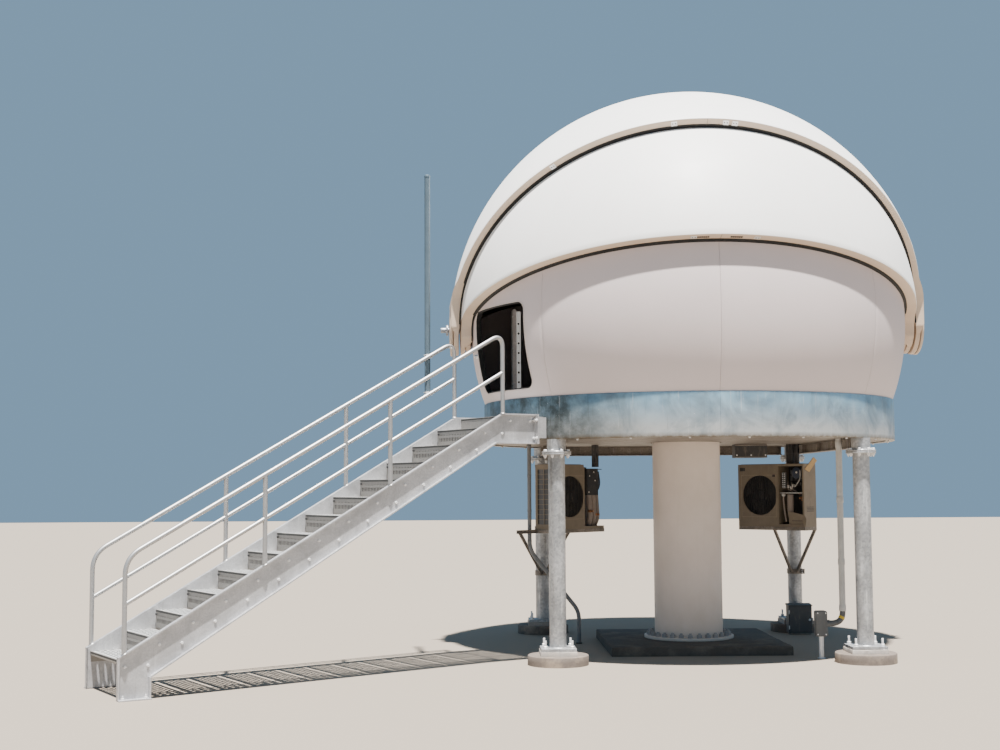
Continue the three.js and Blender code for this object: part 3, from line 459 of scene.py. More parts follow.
class Finish:
    """A node material in the making."""

    def __init__(self, name, colour, roughness, metallic=0.0):
        self.material = bpy.data.materials.new(name)
        self.material.use_nodes = True
        self.tree = self.material.node_tree
        self.shader = self.tree.nodes["Principled BSDF"]
        self.shader.inputs["Base Color"].default_value = (*colour, 1)
        self.shader.inputs["Roughness"].default_value = roughness
        self.shader.inputs["Metallic"].default_value = metallic
        self.base = (*colour, 1)
        self.colour = None
        self.place = self.node("ShaderNodeTexCoord").outputs["Object"]
        self.normal = None

    def node(self, kind, **settings):
        made = self.tree.nodes.new(kind)
        for name, value in settings.items():
            setattr(made, name, value)
        return made

    def link(self, source, target):
        self.tree.links.new(source, target)

    def stretched(self, x=1.0, y=1.0, z=1.0):
        mapping = self.node("ShaderNodeMapping")
        mapping.inputs["Scale"].default_value = (x, y, z)
        self.link(self.place, mapping.inputs["Vector"])
        return mapping.outputs["Vector"]

    def noise(self, scale, detail=3.0, rough=0.55, at=None, distortion=0.0):
        made = self.node("ShaderNodeTexNoise")
        made.inputs["Scale"].default_value = scale
        made.inputs["Detail"].default_value = detail
        made.inputs["Roughness"].default_value = rough
        made.inputs["Distortion"].default_value = distortion
        self.link(at or self.place, made.inputs["Vector"])
        return made.outputs["Fac"]

    def cells(self, scale, at=None, feature="F1", output="Color"):
        made = self.node("ShaderNodeTexVoronoi", feature=feature)
        made.inputs["Scale"].default_value = scale
        self.link(at or self.place, made.inputs["Vector"])
        return made.outputs[output]

    def ramp(self, value, *stops):
        made = self.node("ShaderNodeValToRGB")
        elements = made.color_ramp.elements
        while len(elements) < len(stops):
            elements.new(0.5)
        for element, (position, shade) in zip(elements, stops):
            element.position = position
            colour = shade if isinstance(shade, tuple) else (shade, shade, shade)
            element.color = (*colour[:3], 1)
        self.link(value, made.inputs["Fac"])
        return made.outputs["Color"]

    def height(self, low, high):
        """0 below low and 1 above high, in metres above the ground."""
        split = self.node("ShaderNodeSeparateXYZ")
        self.link(self.place, split.inputs["Vector"])
        spread = self.node("ShaderNodeMapRange")
        spread.inputs["From Min"].default_value = low
        spread.inputs["From Max"].default_value = high
        self.link(split.outputs["Z"], spread.inputs["Value"])
        return spread.outputs["Result"]

    def calculate(self, operation, first, second):
        made = self.node("ShaderNodeMath", operation=operation)
        for socket, value in zip(made.inputs, (first, second)):
            if isinstance(value, (int, float)):
                socket.default_value = value
            else:
                self.link(value, socket)
        return made.outputs["Value"]

    def tint(self, factor, colour, blend="MIX", amount=1.0):
        """Lays a colour over what is there, where the factor is high."""
        made = self.node("ShaderNodeMix", data_type="RGBA", blend_type=blend)
        if amount != 1.0:
            factor = self.calculate("MULTIPLY", factor, amount)
        self.link(factor, made.inputs["Factor"])
        if self.colour is None:
            made.inputs["A"].default_value = self.base
        else:
            self.link(self.colour, made.inputs["A"])
        if isinstance(colour, tuple):
            made.inputs["B"].default_value = (*colour, 1)
        else:
            self.link(colour, made.inputs["B"])
        self.colour = made.outputs["Result"]
        return self

    def gloss(self, value, low, high):
        """Roughness from low to high as the value goes from 0 to 1."""
        spread = self.node("ShaderNodeMapRange")
        spread.inputs["To Min"].default_value = low
        spread.inputs["To Max"].default_value = high
        self.link(value, spread.inputs["Value"])
        self.link(spread.outputs["Result"], self.shader.inputs["Roughness"])
        return self

    def bump(self, value, strength, distance=0.002):
        made = self.node("ShaderNodeBump")
        made.inputs["Strength"].default_value = strength
        made.inputs["Distance"].default_value = distance
        self.link(value, made.inputs["Height"])
        if self.normal:
            self.link(self.normal, made.inputs["Normal"])
        self.normal = made.outputs["Normal"]
        return self

    def done(self):
        if self.colour is not None:
            self.link(self.colour, self.shader.inputs["Base Color"])
        if self.normal is not None:
            self.link(self.normal, self.shader.inputs["Normal"])
        return self.material


def gelcoat(name, colour, dust=0.25, streaks=0.3):
    """Glossy moulded glass fibre with chalky patches, thin run marks and dust specks."""
    f = Finish(name, colour, 0.55)
    chalk = f.noise(1.3, 5, 0.6)
    f.tint(f.ramp(chalk, (0.42, 0.0), (0.72, 1.0)), tuple(c * 0.93 for c in colour), amount=0.6)
    runs = f.noise(9, 4, 0.7, at=f.stretched(1.6, 1.6, 0.12))
    marks = f.ramp(runs, (0.56, 0.0), (0.74, 1.0))
    f.tint(marks, (0.62, 0.56, 0.50), amount=streaks * 0.35)
    specks = f.noise(140, 2, 0.5)
    f.tint(f.ramp(specks, (0.66, 0.0), (0.74, 1.0)), (0.55, 0.50, 0.44), amount=dust * 0.5)
    f.gloss(f.noise(4, 6, 0.65), 0.46, 0.66)
    f.bump(f.noise(2.2, 2, 0.4), 0.12, 0.01)
    f.bump(f.noise(420, 2, 0.5), 0.06, 0.0006)
    f.shader.inputs["Coat Weight"].default_value = 0.08
    f.shader.inputs["Coat Roughness"].default_value = 0.35
    return f.done()


def laminate(name, colour):
    """The rough inside of a moulded shell."""
    f = Finish(name, colour, 0.75)
    f.tint(f.ramp(f.noise(3, 5), (0.4, 0.0), (0.7, 1.0)), tuple(c * 0.7 for c in colour), amount=0.7)
    f.gloss(f.noise(12, 4), 0.6, 0.85)
    f.bump(f.noise(160, 3), 0.3, 0.001)
    return f.done()


def rubber(name="black_rubber", colour=(0.009, 0.009, 0.009)):
    f = Finish(name, colour, 0.62)
    dust = f.noise(26, 5, 0.7)
    f.tint(f.ramp(dust, (0.5, 0.0), (0.72, 1.0)), (0.10, 0.085, 0.07), amount=0.25)
    f.gloss(f.noise(60, 3), 0.6, 0.85)
    f.bump(f.noise(300, 3), 0.2, 0.0008)
    return f.done()


def galvanised(name, light, dark, spangle=70, metallic=0.85, low=0.3, high=0.52, drips=0.5):
    """Zinc with crystal spangle, cloudy patches and runs from rain."""
    f = Finish(name, light, 0.4, metallic)
    crystal = f.cells(spangle)
    grey = f.node("ShaderNodeRGBToBW")
    f.link(crystal, grey.inputs["Color"])
    f.tint(f.ramp(grey.outputs["Val"], (0.2, 0.0), (0.85, 1.0)), dark, amount=0.55)
    cloud = f.noise(3.5, 5, 0.62, distortion=0.6)
    f.tint(f.ramp(cloud, (0.42, 0.0), (0.68, 1.0)), tuple(c * 0.72 for c in dark), amount=0.6)
    runs = f.noise(11, 5, 0.72, at=f.stretched(2.2, 2.2, 0.14))
    f.tint(f.ramp(runs, (0.58, 0.0), (0.7, 1.0)), (0.86, 0.87, 0.86), amount=drips * 0.6)
    f.tint(f.ramp(runs, (0.3, 1.0), (0.42, 0.0)), (0.16, 0.15, 0.13), amount=drips * 0.5)
    f.gloss(f.ramp(f.noise(8, 5, 0.6), (0.3, 0.0), (0.7, 1.0)), low, high)
    f.bump(grey.outputs["Val"], 0.05, 0.0006)
    f.bump(f.noise(5, 3), 0.08, 0.004)
    return f.done()


def band_zinc(name="band_zinc"):
    """Tall zinc plate: bluish above and paler below, a painted reflection of the sky; darker in patches on
    the left; dark brown along the bottom, a painted reflection of the shaded ground; with pale runs.
    """
    f = Finish(name, (0.560, 0.600, 0.620), 0.4, 0.75)
    # Bluish above and paler below: painted reflection of the sky
    up = f.height(BAND_BOTTOM_Z + 0.10, BAND_TOP_Z - 0.05)
    f.tint(up, (0.330, 0.560, 0.700), amount=0.9)
    cloud = f.noise(2.6, 5, 0.62, distortion=0.8)
    f.tint(f.ramp(cloud, (0.44, 0.0), (0.66, 1.0)), (0.230, 0.300, 0.350), amount=0.75)
    # Darker in patches on the left
    split = f.node("ShaderNodeSeparateXYZ")
    f.link(f.place, split.inputs["Vector"])
    spread = f.node("ShaderNodeMapRange")
    spread.inputs["From Min"].default_value = -0.60
    spread.inputs["From Max"].default_value = -1.50
    f.link(split.outputs["X"], spread.inputs["Value"])
    darker_left_patches = f.calculate(
        "MULTIPLY",
        spread.outputs["Result"],
        f.ramp(f.noise(4.5, 5, 0.7), (0.30, 0.35), (0.62, 1.0)),
    )
    f.tint(darker_left_patches, (0.085, 0.098, 0.092), amount=0.95)
    runs = f.noise(13, 5, 0.75, at=f.stretched(2.4, 2.4, 0.10))
    f.tint(f.ramp(runs, (0.60, 0.0), (0.70, 1.0)), (0.88, 0.89, 0.88), amount=0.55)
    f.tint(f.ramp(runs, (0.30, 1.0), (0.40, 0.0)), (0.12, 0.12, 0.11), amount=0.45)
    specks = f.noise(70, 3, 0.6)
    f.tint(f.ramp(specks, (0.70, 0.0), (0.74, 1.0)), (0.92, 0.92, 0.90), amount=0.7)
    # Dark brown along the bottom edge: painted reflection of the shaded ground
    low = f.calculate("SUBTRACT", 1.0, f.height(BAND_BOTTOM_Z, BAND_BOTTOM_Z + 0.050))
    ground_reflection_mask = f.calculate("MULTIPLY", low, f.ramp(f.noise(17, 5, 0.7), (0.25, 0.4), (0.60, 1.0)))
    f.tint(ground_reflection_mask, (0.130, 0.095, 0.055), amount=1.0)
    f.gloss(f.ramp(f.noise(6, 5, 0.6), (0.3, 0.0), (0.7, 1.0)), 0.28, 0.50)
    f.bump(f.noise(5, 3), 0.08, 0.004)
    return f.done()


def bright_zinc(name, colour, runs=0.0, metallic=0.55):
    """Newer zinc on tubes and treads: light and fairly even, with a little grain."""
    f = Finish(name, colour, 0.42, metallic)
    grain = f.noise(38, 4, 0.6)
    f.tint(f.ramp(grain, (0.4, 0.0), (0.75, 1.0)), tuple(c * 0.78 for c in colour), amount=0.6)
    if runs:
        marks = f.noise(30, 4, 0.7, at=f.stretched(1.0, 1.0, 0.2))
        f.tint(f.ramp(marks, (0.6, 0.0), (0.75, 1.0)), (0.93, 0.93, 0.92), amount=runs)
    f.gloss(grain, 0.32, 0.55)
    f.bump(grain, 0.1, 0.0008)
    return f.done()


def cream_paint(name="cream_paint"):
    """Thick paint on the pier, dusty at its foot and scuffed back to rust in a few places."""
    f = Finish(name, (0.70, 0.62, 0.57), 0.5)
    f.tint(f.ramp(f.noise(2.1, 5), (0.4, 0.0), (0.72, 1.0)), (0.60, 0.52, 0.46), amount=0.7)
    runs = f.noise(14, 4, 0.7, at=f.stretched(1.5, 1.5, 0.08))
    f.tint(f.ramp(runs, (0.55, 0.0), (0.75, 1.0)), (0.62, 0.56, 0.49), amount=0.45)
    scuffs = f.noise(11, 6, 0.75, distortion=0.4)
    f.tint(f.ramp(scuffs, (0.70, 0.0), (0.73, 1.0)), (0.33, 0.17, 0.11), amount=0.8)
    low = f.calculate("SUBTRACT", 1.0, f.height(0.1, 0.75))
    dusty = f.calculate("MULTIPLY", low, f.noise(9, 5, 0.7))
    f.tint(dusty, (0.60, 0.50, 0.39), amount=0.8)
    f.gloss(f.noise(7, 5), 0.4, 0.65)
    f.bump(f.noise(180, 3), 0.12, 0.0006)
    f.bump(scuffs, 0.04, 0.001)
    return f.done()


def concrete(name, colour, sand):
    """Cast concrete with pores, darker damp patches and wind-blown sand on it."""
    f = Finish(name, colour, 0.88)
    f.tint(f.ramp(f.noise(6, 6, 0.65), (0.38, 0.0), (0.7, 1.0)), tuple(c * 0.72 for c in colour), amount=0.8)
    f.tint(f.ramp(f.noise(55, 4, 0.7), (0.35, 1.0), (0.5, 0.0)), tuple(c * 0.55 for c in colour), amount=0.45)
    pores = f.cells(95, output="Distance")
    f.tint(f.ramp(pores, (0.06, 1.0), (0.14, 0.0)), (0.16, 0.14, 0.12), amount=0.5)
    f.tint(f.ramp(f.noise(3.4, 6, 0.7), (0.5, 0.0), (0.66, 1.0)), (0.66, 0.52, 0.37), amount=sand)
    f.bump(f.noise(90, 5, 0.7), 0.5, 0.003)
    f.bump(f.ramp(pores, (0.05, 0.0), (0.16, 1.0)), 0.4, 0.002)
    return f.done()


def painted(name, colour, roughness=0.5, dirt=0.4, metallic=0.0, painted_glow=0.0):
    """Plain painted or moulded sheet with grime; a glow, where asked for, is painted light, as the sheet is
    no lamp.
    """
    f = Finish(name, colour, roughness, metallic)
    if painted_glow:
        f.shader.inputs["Emission Color"].default_value = (*colour, 1)
        f.shader.inputs["Emission Strength"].default_value = painted_glow
    f.tint(f.ramp(f.noise(7, 5, 0.65), (0.4, 0.0), (0.7, 1.0)), tuple(c * 0.78 for c in colour), amount=0.8)
    grime = f.noise(22, 5, 0.7, at=f.stretched(1.2, 1.2, 0.3))
    f.tint(f.ramp(grime, (0.55, 0.0), (0.75, 1.0)), (0.27, 0.22, 0.17), amount=dirt)
    f.gloss(f.noise(12, 4), roughness - 0.1, roughness + 0.15)
    f.bump(f.noise(260, 3), 0.12, 0.0006)
    return f.done()


WHITE = gelcoat("white_gelcoat", (0.885, 0.880, 0.865), 0.2, 0.2)
# The lips' and ears' white gelcoat is drawn darker and tan: painted shade on faces that look down, with
# painted warm bounce light from the ground
LIP = gelcoat("lip_gelcoat", (0.600, 0.480, 0.375), 0.5, 0.5)
# Grey-white gelcoat; its pink-tan tint is painted warm bounce light from the ground
WALL = gelcoat("wall_gelcoat", (0.645, 0.565, 0.560), 0.3, 0.35)
INSIDE = laminate("inside_laminate", (0.060, 0.060, 0.062))
RUBBER = rubber()
BAND = band_zinc()
LEG = galvanised("leg_zinc", (0.500, 0.505, 0.510), (0.220, 0.230, 0.240), 45, 0.65, 0.34, 0.58, 0.9)
STRINGER = galvanised("stringer_zinc", (0.560, 0.560, 0.570), (0.400, 0.400, 0.410), 90, 0.55, 0.4, 0.6, 0.35)
# Darker and browner than the zinc in the open: partly dust, partly painted shade under the deck and painted
# reflection of the brown ground
UNDERSIDE = galvanised(
    "underside_zinc", (0.290, 0.255, 0.220), (0.160, 0.140, 0.120), 60, 0.4, 0.45, 0.7, 0.3
)
RAIL = bright_zinc("rail_zinc", (0.420, 0.420, 0.420), 0.12, 0.75)
MAST = painted("mast_grey", (0.115, 0.165, 0.205), 0.4, 0.2, 0.4)
GRATING = bright_zinc("grating_zinc", (0.700, 0.705, 0.695), 0.0, 0.5)
# Near black on the walls of the grating's holes, the riser's holes and the groove under each nosing: painted
# shade
WELL = painted("grating_wells", (0.060, 0.060, 0.058), 0.7, 0.2)
# The risers are the treads' zinc drawn darker and browner: painted shade under the nosings and painted
# reflection of the brown ground
RISER = bright_zinc("riser_zinc", (0.300, 0.285, 0.265))
BOLT = bright_zinc("bolt_zinc", (0.800, 0.800, 0.800), 0.0, 0.3)
PIN = bright_zinc("pin_zinc", (0.300, 0.320, 0.350), 0.0, 0.7)
CREAM = cream_paint()
NUT = painted("painted_nuts", (0.300, 0.290, 0.290), 0.5, 0.5)
FOOTING = concrete("footing_concrete", (0.165, 0.134, 0.112), 0.25)
# Near black: painted shade, as the slab lies in the shadow under the deck
SLAB = concrete("slab_concrete", (0.105, 0.088, 0.072), 0.10)
GROUT = concrete("grout", (0.380, 0.345, 0.310), 0.30)
# The units' beige paint is drawn dark brown: painted shade, as they hang in the deck's shadow
HOUSING = painted("beige_housing", (0.200, 0.162, 0.115), 0.5, 0.5)
DARK = painted("dark_metal", (0.030, 0.030, 0.032), 0.55, 0.4)
# Dark grey, though coil fins are bright aluminium: painted shade
FINS = painted("cooling_fins", (0.110, 0.110, 0.112), 0.4, 0.3, 0.7)
PIPES = painted("lagged_pipes", (0.270, 0.225, 0.195), 0.7, 0.4)
COPPER = painted("copper", (0.480, 0.230, 0.120), 0.35, 0.4, 0.8)
GREY_BOX = painted("grey_plastic", (0.105, 0.110, 0.112), 0.5, 0.4)
CONDUIT_GREY = painted("conduit_grey", (0.520, 0.520, 0.505), 0.45, 0.35)
CAPACITOR = painted("capacitor_blue", (0.020, 0.032, 0.060), 0.4, 0.25)
PAPER = painted("pale_plastic", (0.620, 0.600, 0.560), 0.55, 0.3)
BLACK = painted("black_plastic", (0.012, 0.012, 0.013), 0.4, 0.2)
# Lighter than the housing: a painted highlight along the raised lines
EMBOSSED = painted("housing_edge", (0.290, 0.240, 0.175), 0.5, 0.4)
CONDUIT_DARK = painted("conduit_dark", (0.180, 0.190, 0.200), 0.5, 0.4)
# Near black blue-grey: painted shade, as the cabinet is lit only by the sky under the deck
CABINET = painted("cabinet_dark_painted_shade", (0.062, 0.066, 0.070), 0.5, 0.4)
TAPE = painted("yellow_tape", (0.640, 0.450, 0.040), 0.5, 0.3)
SEAM = painted("sealant", (0.330, 0.320, 0.315), 0.6, 0.3)
# The upright's two paints glow: painted light that makes the bar read brightly lit inside the dark doorway;
# its edge paint is a darker copy, painted shade
UPRIGHT_PAINT = painted("upright_paint", (0.930, 0.900, 0.860), 0.5, 0.15, painted_glow=0.30)
UPRIGHT_EDGE = painted("upright_edge", (0.560, 0.500, 0.470), 0.5, 0.3, painted_glow=0.12)
TRIM = gelcoat("door_trim", (0.600, 0.530, 0.500), 0.3, 0.3)
FLAP = painted("tan_foam", (0.520, 0.360, 0.180), 0.9, 0.3)


def dress_nodes():
    """A material for each CAD node that stays as it is."""
    kinds = {
        "deck": UNDERSIDE,
        "pivot_left": BOLT,
        "pivot_right": BOLT,
    }
    for name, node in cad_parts.items():
        material = kinds.get(name, WHITE)
        node.data.materials.clear()
        node.data.materials.append(material)


# Shutters


def about(from_pivot, turn, side):
    """A direction by its angle from the left pivot and its angle about the pivot axis."""
    away = math.sin(math.radians(from_pivot))
    return np.array(
        [
            -math.cos(math.radians(from_pivot)),
            side * away * math.cos(math.radians(turn)),
            away * math.sin(math.radians(turn)),
        ]
    )


def sweep_across(profile, side, radius, columns):
    """A closed profile of (turn, shift, distance), swept from pivot to pivot.

    The shift is a length along the skin, the same at every column.
    """
    rows = []
    for from_pivot in columns:
        arm = radius * math.sin(math.radians(from_pivot))
        row = []
        for turn, shift, distance in profile:
            row.append(about(from_pivot, turn + math.degrees(shift / arm), side) * distance + CENTRE)
        rows.append(row)
    if side > 0:
        rows.reverse()
    return rows


def shell_profile(radius, low, high, lip_inner, crown):
    """The outline of a shutter's skin and lip, and where its outside, lip and inside start."""
    inner = radius - SHELL_T
    edge = -CROWN_GAP if crown else 0.0
    round_off = 0.005
    turns = np.arange(low, high, 1.6)[1:]
    outside = [(low, 0.0, radius - round_off), (low, 0.3 * round_off, radius - 0.3 * round_off)]
    outside.append((low, round_off, radius))
    outside += [(turn, 0.0, radius) for turn in turns]
    outside.append((high, edge - round_off, radius))
    outside.append((high, edge - 0.3 * round_off, radius - 0.3 * round_off))
    outside.append((high, edge, radius - round_off))
    inside = []
    if crown:
        depth = inner - CROWN_FLANGE
        inside += [(high, edge, depth), (high, edge - LIP_T, depth), (high, edge - LIP_T, inner)]
    else:
        inside.append((high, edge, inner))
    inside += [(turn, 0.0, inner) for turn in reversed(turns)]
    lip = [(low, LIP_T, inner), (low, LIP_T, lip_inner + 0.004), (low, LIP_T - 0.004, lip_inner)]
    lip += [(low, 0.004, lip_inner), (low, 0.0, lip_inner + 0.004)]
    return outside, inside, lip


def add_shell(piece, side, radius, low, high, lip_inner, crown):
    outside, inside, lip = shell_profile(radius, low, high, lip_inner, crown)
    columns = np.linspace(SKIN_START, 180 - SKIN_START, 121)
    profile = outside + inside + lip
    points, faces = lattice(sweep_across(profile, side, radius, columns), across=True, caps=True)
    count = len(profile)
    first_lip = len(outside) + len(inside)
    kinds = []
    for face in faces:
        place = min(face[0], face[1]) % count if len(face) == 4 else 0
        wraps = len(face) == 4 and {face[0] % count, face[1] % count} == {0, count - 1}
        if len(face) != 4:
            kinds.append(LIP)
        elif wraps or place >= first_lip:
            kinds.append(LIP)
        elif place >= len(outside) - 1:
            kinds.append(INSIDE)
        else:
            kinds.append(WHITE)
    start = piece.count
    piece.points.append(points)
    piece.faces.extend(tuple(start + i for i in face) for face in faces)
    piece.kinds.extend(kinds)
    piece.count += len(points)


def add_seal(piece, side, radius, low, lip_inner):
    """The rubber flap that hangs from the lip's inner edge and wipes the skin below."""
    gap = 0.0105
    profile = [
        (low, -0.024, lip_inner - gap),
        (low, -0.025, lip_inner - gap + 0.005),
        (low, -0.006, lip_inner + 0.002),
        (low, -0.003, lip_inner + 0.020),
        (low, 0.001, lip_inner + 0.020),
        (low, 0.001, lip_inner - 0.001),
        (low, -0.004, lip_inner - gap),
    ]
    columns = np.linspace(SKIN_START + 1.2, 180 - SKIN_START - 1.2, 111)
    rows = sweep_across(profile, side, radius, columns)
    piece.add(lattice(rows, across=True, caps=True), RUBBER)


def ear_profile(inner, outer):
    """Radius from the pivot axis and distance along it, round the ear's section."""

    def on(radius, degrees):
        angle = math.radians(degrees)
        return radius * math.sin(angle), radius * math.cos(angle)

    soft = 0.010
    rim = math.degrees(soft / outer)
    low = [(PIN_HOLE, math.sqrt(inner**2 - PIN_HOLE**2))]
    low += [on(inner, degrees) for degrees in (2.0, 4.0, EAR - rim)]
    low += [on(inner + 0.3 * soft, EAR - 0.3 * rim), on(inner + soft, EAR)]
    high = [on(outer - soft, EAR), on(outer - 0.3 * soft, EAR - 0.3 * rim)]
    high += [on(outer, degrees) for degrees in (EAR - rim, 4.0, 2.0)]
    high += [(PIN_HOLE, math.sqrt(outer**2 - PIN_HOLE**2))]
    return low + high


def add_ear(piece, end, inner, outer):
    part = revolve(ear_profile(inner, outer), 72)
    piece.add(towards(part, (0, 0, DOME_Z), (end, 0, 0)), LIP)


def smooth(share):
    share = min(1.0, max(0.0, share))
    return share * share * (3 - 2 * share)


def add_fairing(piece, side, end, low, high, ears, radius):
    """The moulded swelling between an ear and the skin."""
    start, stop = EAR - 1.3, SKIN_START + 6.2
    ear_inner, ear_outer = ears
    inner_rows, outer_rows = [], []
    for degrees in np.linspace(start, stop, 15):
        share = smooth((degrees - EAR) / (stop - EAR))
        from_pivot = degrees if end < 0 else 180 - degrees
        outer_row, inner_row = [], []
        for turn in np.linspace(low + 1.6, high - 1.6, 25):
            near_edge = min(turn - low - 1.6, high - 1.6 - turn)
            fade = 1 - smooth(near_edge / 4.0)
            skin_out, skin_in = radius - 0.0005, radius - SHELL_T + 0.0005
            mixed = max(share, 0.0 if degrees < SKIN_START + 0.2 else fade)
            outer = (ear_outer - 0.003) * (1 - mixed) + skin_out * mixed
            inner = (ear_inner + 0.003) * (1 - mixed) + skin_in * mixed
            outer_row.append(about(from_pivot, turn, side) * outer + CENTRE)
            inner_row.append(about(from_pivot, turn, side) * inner + CENTRE)
        outer_rows.append(outer_row)
        inner_rows.append(inner_row)
    loops = []
    for outer_row, inner_row in zip(outer_rows, inner_rows):
        loops.append(outer_row + inner_row[::-1])
    if side * end > 0:
        loops.reverse()
    piece.add(lattice(loops, across=True, caps=True), WHITE)


def lip_frame(from_pivot, turn, side, distance):
    """A matrix on the lip's face: X along the lip, Y outwards and Z out of the face."""
    here = about(from_pivot, turn, side)
    out = Vector(here)
    along = Vector(about(from_pivot + 0.5, turn, side) - about(from_pivot - 0.5, turn, side))
    along.normalize()
    away = Vector(about(from_pivot, turn - 0.5, side) - about(from_pivot, turn + 0.5, side))
    away.normalize()
    place = Vector(here * distance + CENTRE)
    spin = Matrix((along, out, away)).transposed().to_4x4()
    return Matrix.Translation(place) @ spin


def spot(distance, degrees):
    """A point of the plane round a pivot, in degrees: forward and up."""
    angle = math.radians(degrees)
    return np.array([distance * math.cos(angle), distance * math.sin(angle)])


def cheek_path(low):
    """Front and back of a lip's run past the pivot, round it, each with the turn it has reached."""
    out, up = spot(1.0, low), spot(1.0, low + 90)
    corner = CHEEK_FRONT / math.cos(math.radians(low))
    rows = []
    for reach, proud in ((9.0, -0.03), (6.5, -0.02), (4.0, 0.01), (1.6, 0.03), (0.6, 0.03)):
        length = corner + CHEEK_BEND + reach
        rows.append((out * length - up * proud, out * length + up * 0.3, low))
    first = out * (corner + CHEEK_BEND)
    middle = out * corner
    last = middle - np.array([0.0, CHEEK_BEND])
    for share in np.linspace(0, 1, 15):
        front = first * (1 - share) ** 2 + middle * 2 * share * (1 - share) + last * share**2 - up * 0.03
        turn = math.degrees(math.atan2(front[1], front[0]))
        if share <= 0.5:
            back = out * (corner + CHEEK_BEND) * (1 - 2 * share) + out * CHEEK_BACK * 2 * share + up * 0.3
        else:
            back = spot(CHEEK_BACK, turn)
        rows.append((front, back, turn))
    end, level, start = low - CHEEK_THIN, min(turn, 0.0), turn
    for turn in np.linspace(start, end, 19)[1:]:
        if turn > level:
            distance = CHEEK_FRONT / math.cos(math.radians(turn))
        else:
            share = (level - turn) / (level - end)
            full = CHEEK_FRONT / math.cos(math.radians(level))
            distance = full + (CHEEK_BACK + 0.05 - full) * share
        rows.append((spot(distance, turn), spot(CHEEK_BACK, turn), turn))
    return rows


def add_cheek(piece, side, end, low, lip_inner, ears, radius, flare):
    """The lip's run past the pivot: it bends round the ear, thins to it and follows its rim.

    With a flare its outer edge swells out to a plane across the pivot axis.
    """
    ear_inner, ear_outer = ears

    def at(point, distance):
        from_pivot = math.hypot(*point)
        turn = math.degrees(math.atan2(point[1], point[0]))
        return about(from_pivot if end < 0 else 180 - from_pivot, turn, side) * distance + CENTRE

    def sweep(loops, material):
        if side * end > 0:
            loops.reverse()
        piece.add(lattice(loops, across=True, caps=True), material)

    band, seal = [], []
    for front, back, turn in cheek_path(low):
        narrow = smooth((low - CHEEK_WIDE - turn) / (CHEEK_THIN - CHEEK_WIDE))
        inner = (lip_inner + 0.003) * (1 - narrow) + (ear_inner + 0.004) * narrow
        wide = radius - 0.003
        if flare:
            distance = math.hypot(*front)
            swell = 1 - smooth((distance - FLARE_FULL) / (FLARE_END - FLARE_FULL))
            wide = max(wide, wide * (1 - swell) + flare / math.cos(math.radians(distance)) * swell)
        outer = wide * (1 - narrow) + (ear_outer - 0.004) * narrow
        band.append([at(back, outer), at(front, outer), at(front, inner), at(back, inner)])
        if turn > low - CHEEK_WIDE:
            away = (front - back) / math.hypot(*(front - back))
            lip = front + away * 0.12
            under = front - away * 0.10
            corners = rectangle(under, lip_inner + 0.01, lip, lip_inner - 0.004)
            seal.append([at(point, distance) for point, distance in corners])
    sweep(band, LIP)
    sweep(seal, RUBBER)
    web = []
    for turn in np.linspace(low - 6.0, -CHEEK_END, 41):
        reach = CHEEK_BACK + 0.02 if turn > low - CHEEK_THIN + 2.0 else EAR + 0.05
        corners = rectangle(EAR - 0.5, ear_outer, reach, ear_inner)
        ins = (-0.004, -0.004, 0.004, 0.004)
        web.append(
            [at(spot(distance, turn), level + inset) for (distance, level), inset in zip(corners, ins)]
        )
    sweep(web, LIP)


def add_lip_plates(piece, side, turn, lip_inner, radius, angles):
    """Small square plates with two screws on the lip's face."""
    middle = (lip_inner + radius) / 2
    for from_pivot in angles:
        matrix = lip_frame(from_pivot, turn, side, middle)
        small = box((-0.030, -0.026, -0.001), (0.030, 0.026, 0.004))
        piece.add(placed(small, matrix), BOLT)
        for x in (-0.014, 0.014):
            screw = shifted(disc(0.006, 0.004, 0.008, 0.002, 10), x)
            piece.add(placed(screw, matrix), DARK)


def add_lip_vents(piece, side, turn, lip_inner, radius, angles):
    """Short serrated vents: black boxes side by side, painted shade in place of open slots."""
    middle = (lip_inner + radius) / 2
    for from_pivot in angles:
        matrix = lip_frame(from_pivot, turn, side, middle)
        back = box((-0.062, -0.017, -0.001), (0.062, 0.017, 0.003))
        piece.add(placed(back, matrix), LIP)
        for i in range(6):
            x = -0.050 + i * 0.020
            slot = box((x - 0.0085, -0.015, 0.001), (x + 0.0085, 0.015, 0.0046))
            piece.add(placed(slot, matrix), BLACK)


def add_lip_joint(piece, side, turn, lip_inner, radius, from_pivot):
    """The line where two mouldings of a lip meet."""
    matrix = lip_frame(from_pivot, turn, side, (lip_inner + radius) / 2)
    half = (radius - lip_inner) / 2 - 0.004
    piece.add(placed(box((-0.0015, -half, -0.001), (0.0015, half, 0.0012)), matrix), DARK)


def build_shutters():
    for name, (side, radius, low, high, lip_inner, crown, ears) in SHUTTERS.items():
        piece = Piece(name + "_shell")
        add_shell(piece, side, radius, low, high, lip_inner, crown)
        add_seal(piece, side, radius, low, lip_inner)
        for end in (-1, 1):
            add_ear(piece, end, *ears)
            add_fairing(piece, side, end, low, high, ears, radius)
            add_cheek(piece, side, end, low, lip_inner, ears, radius, FLARE if crown else 0.0)
        if crown:
            add_lip_plates(piece, side, low, lip_inner, radius, (53.3, 82.8, 94.5, 96.6))
            add_lip_joint(piece, side, low, lip_inner, radius, 90.3)
        else:
            add_lip_plates(piece, side, low, lip_inner, radius, (84.2, 98.6))
            add_lip_vents(piece, side, low, lip_inner, radius, (86.3, 93.8))
            add_lip_joint(piece, side, low, lip_inner, radius, 90.3)
        piece.make(name, [name + "_shutter"], angle=38)


# Fixed wall


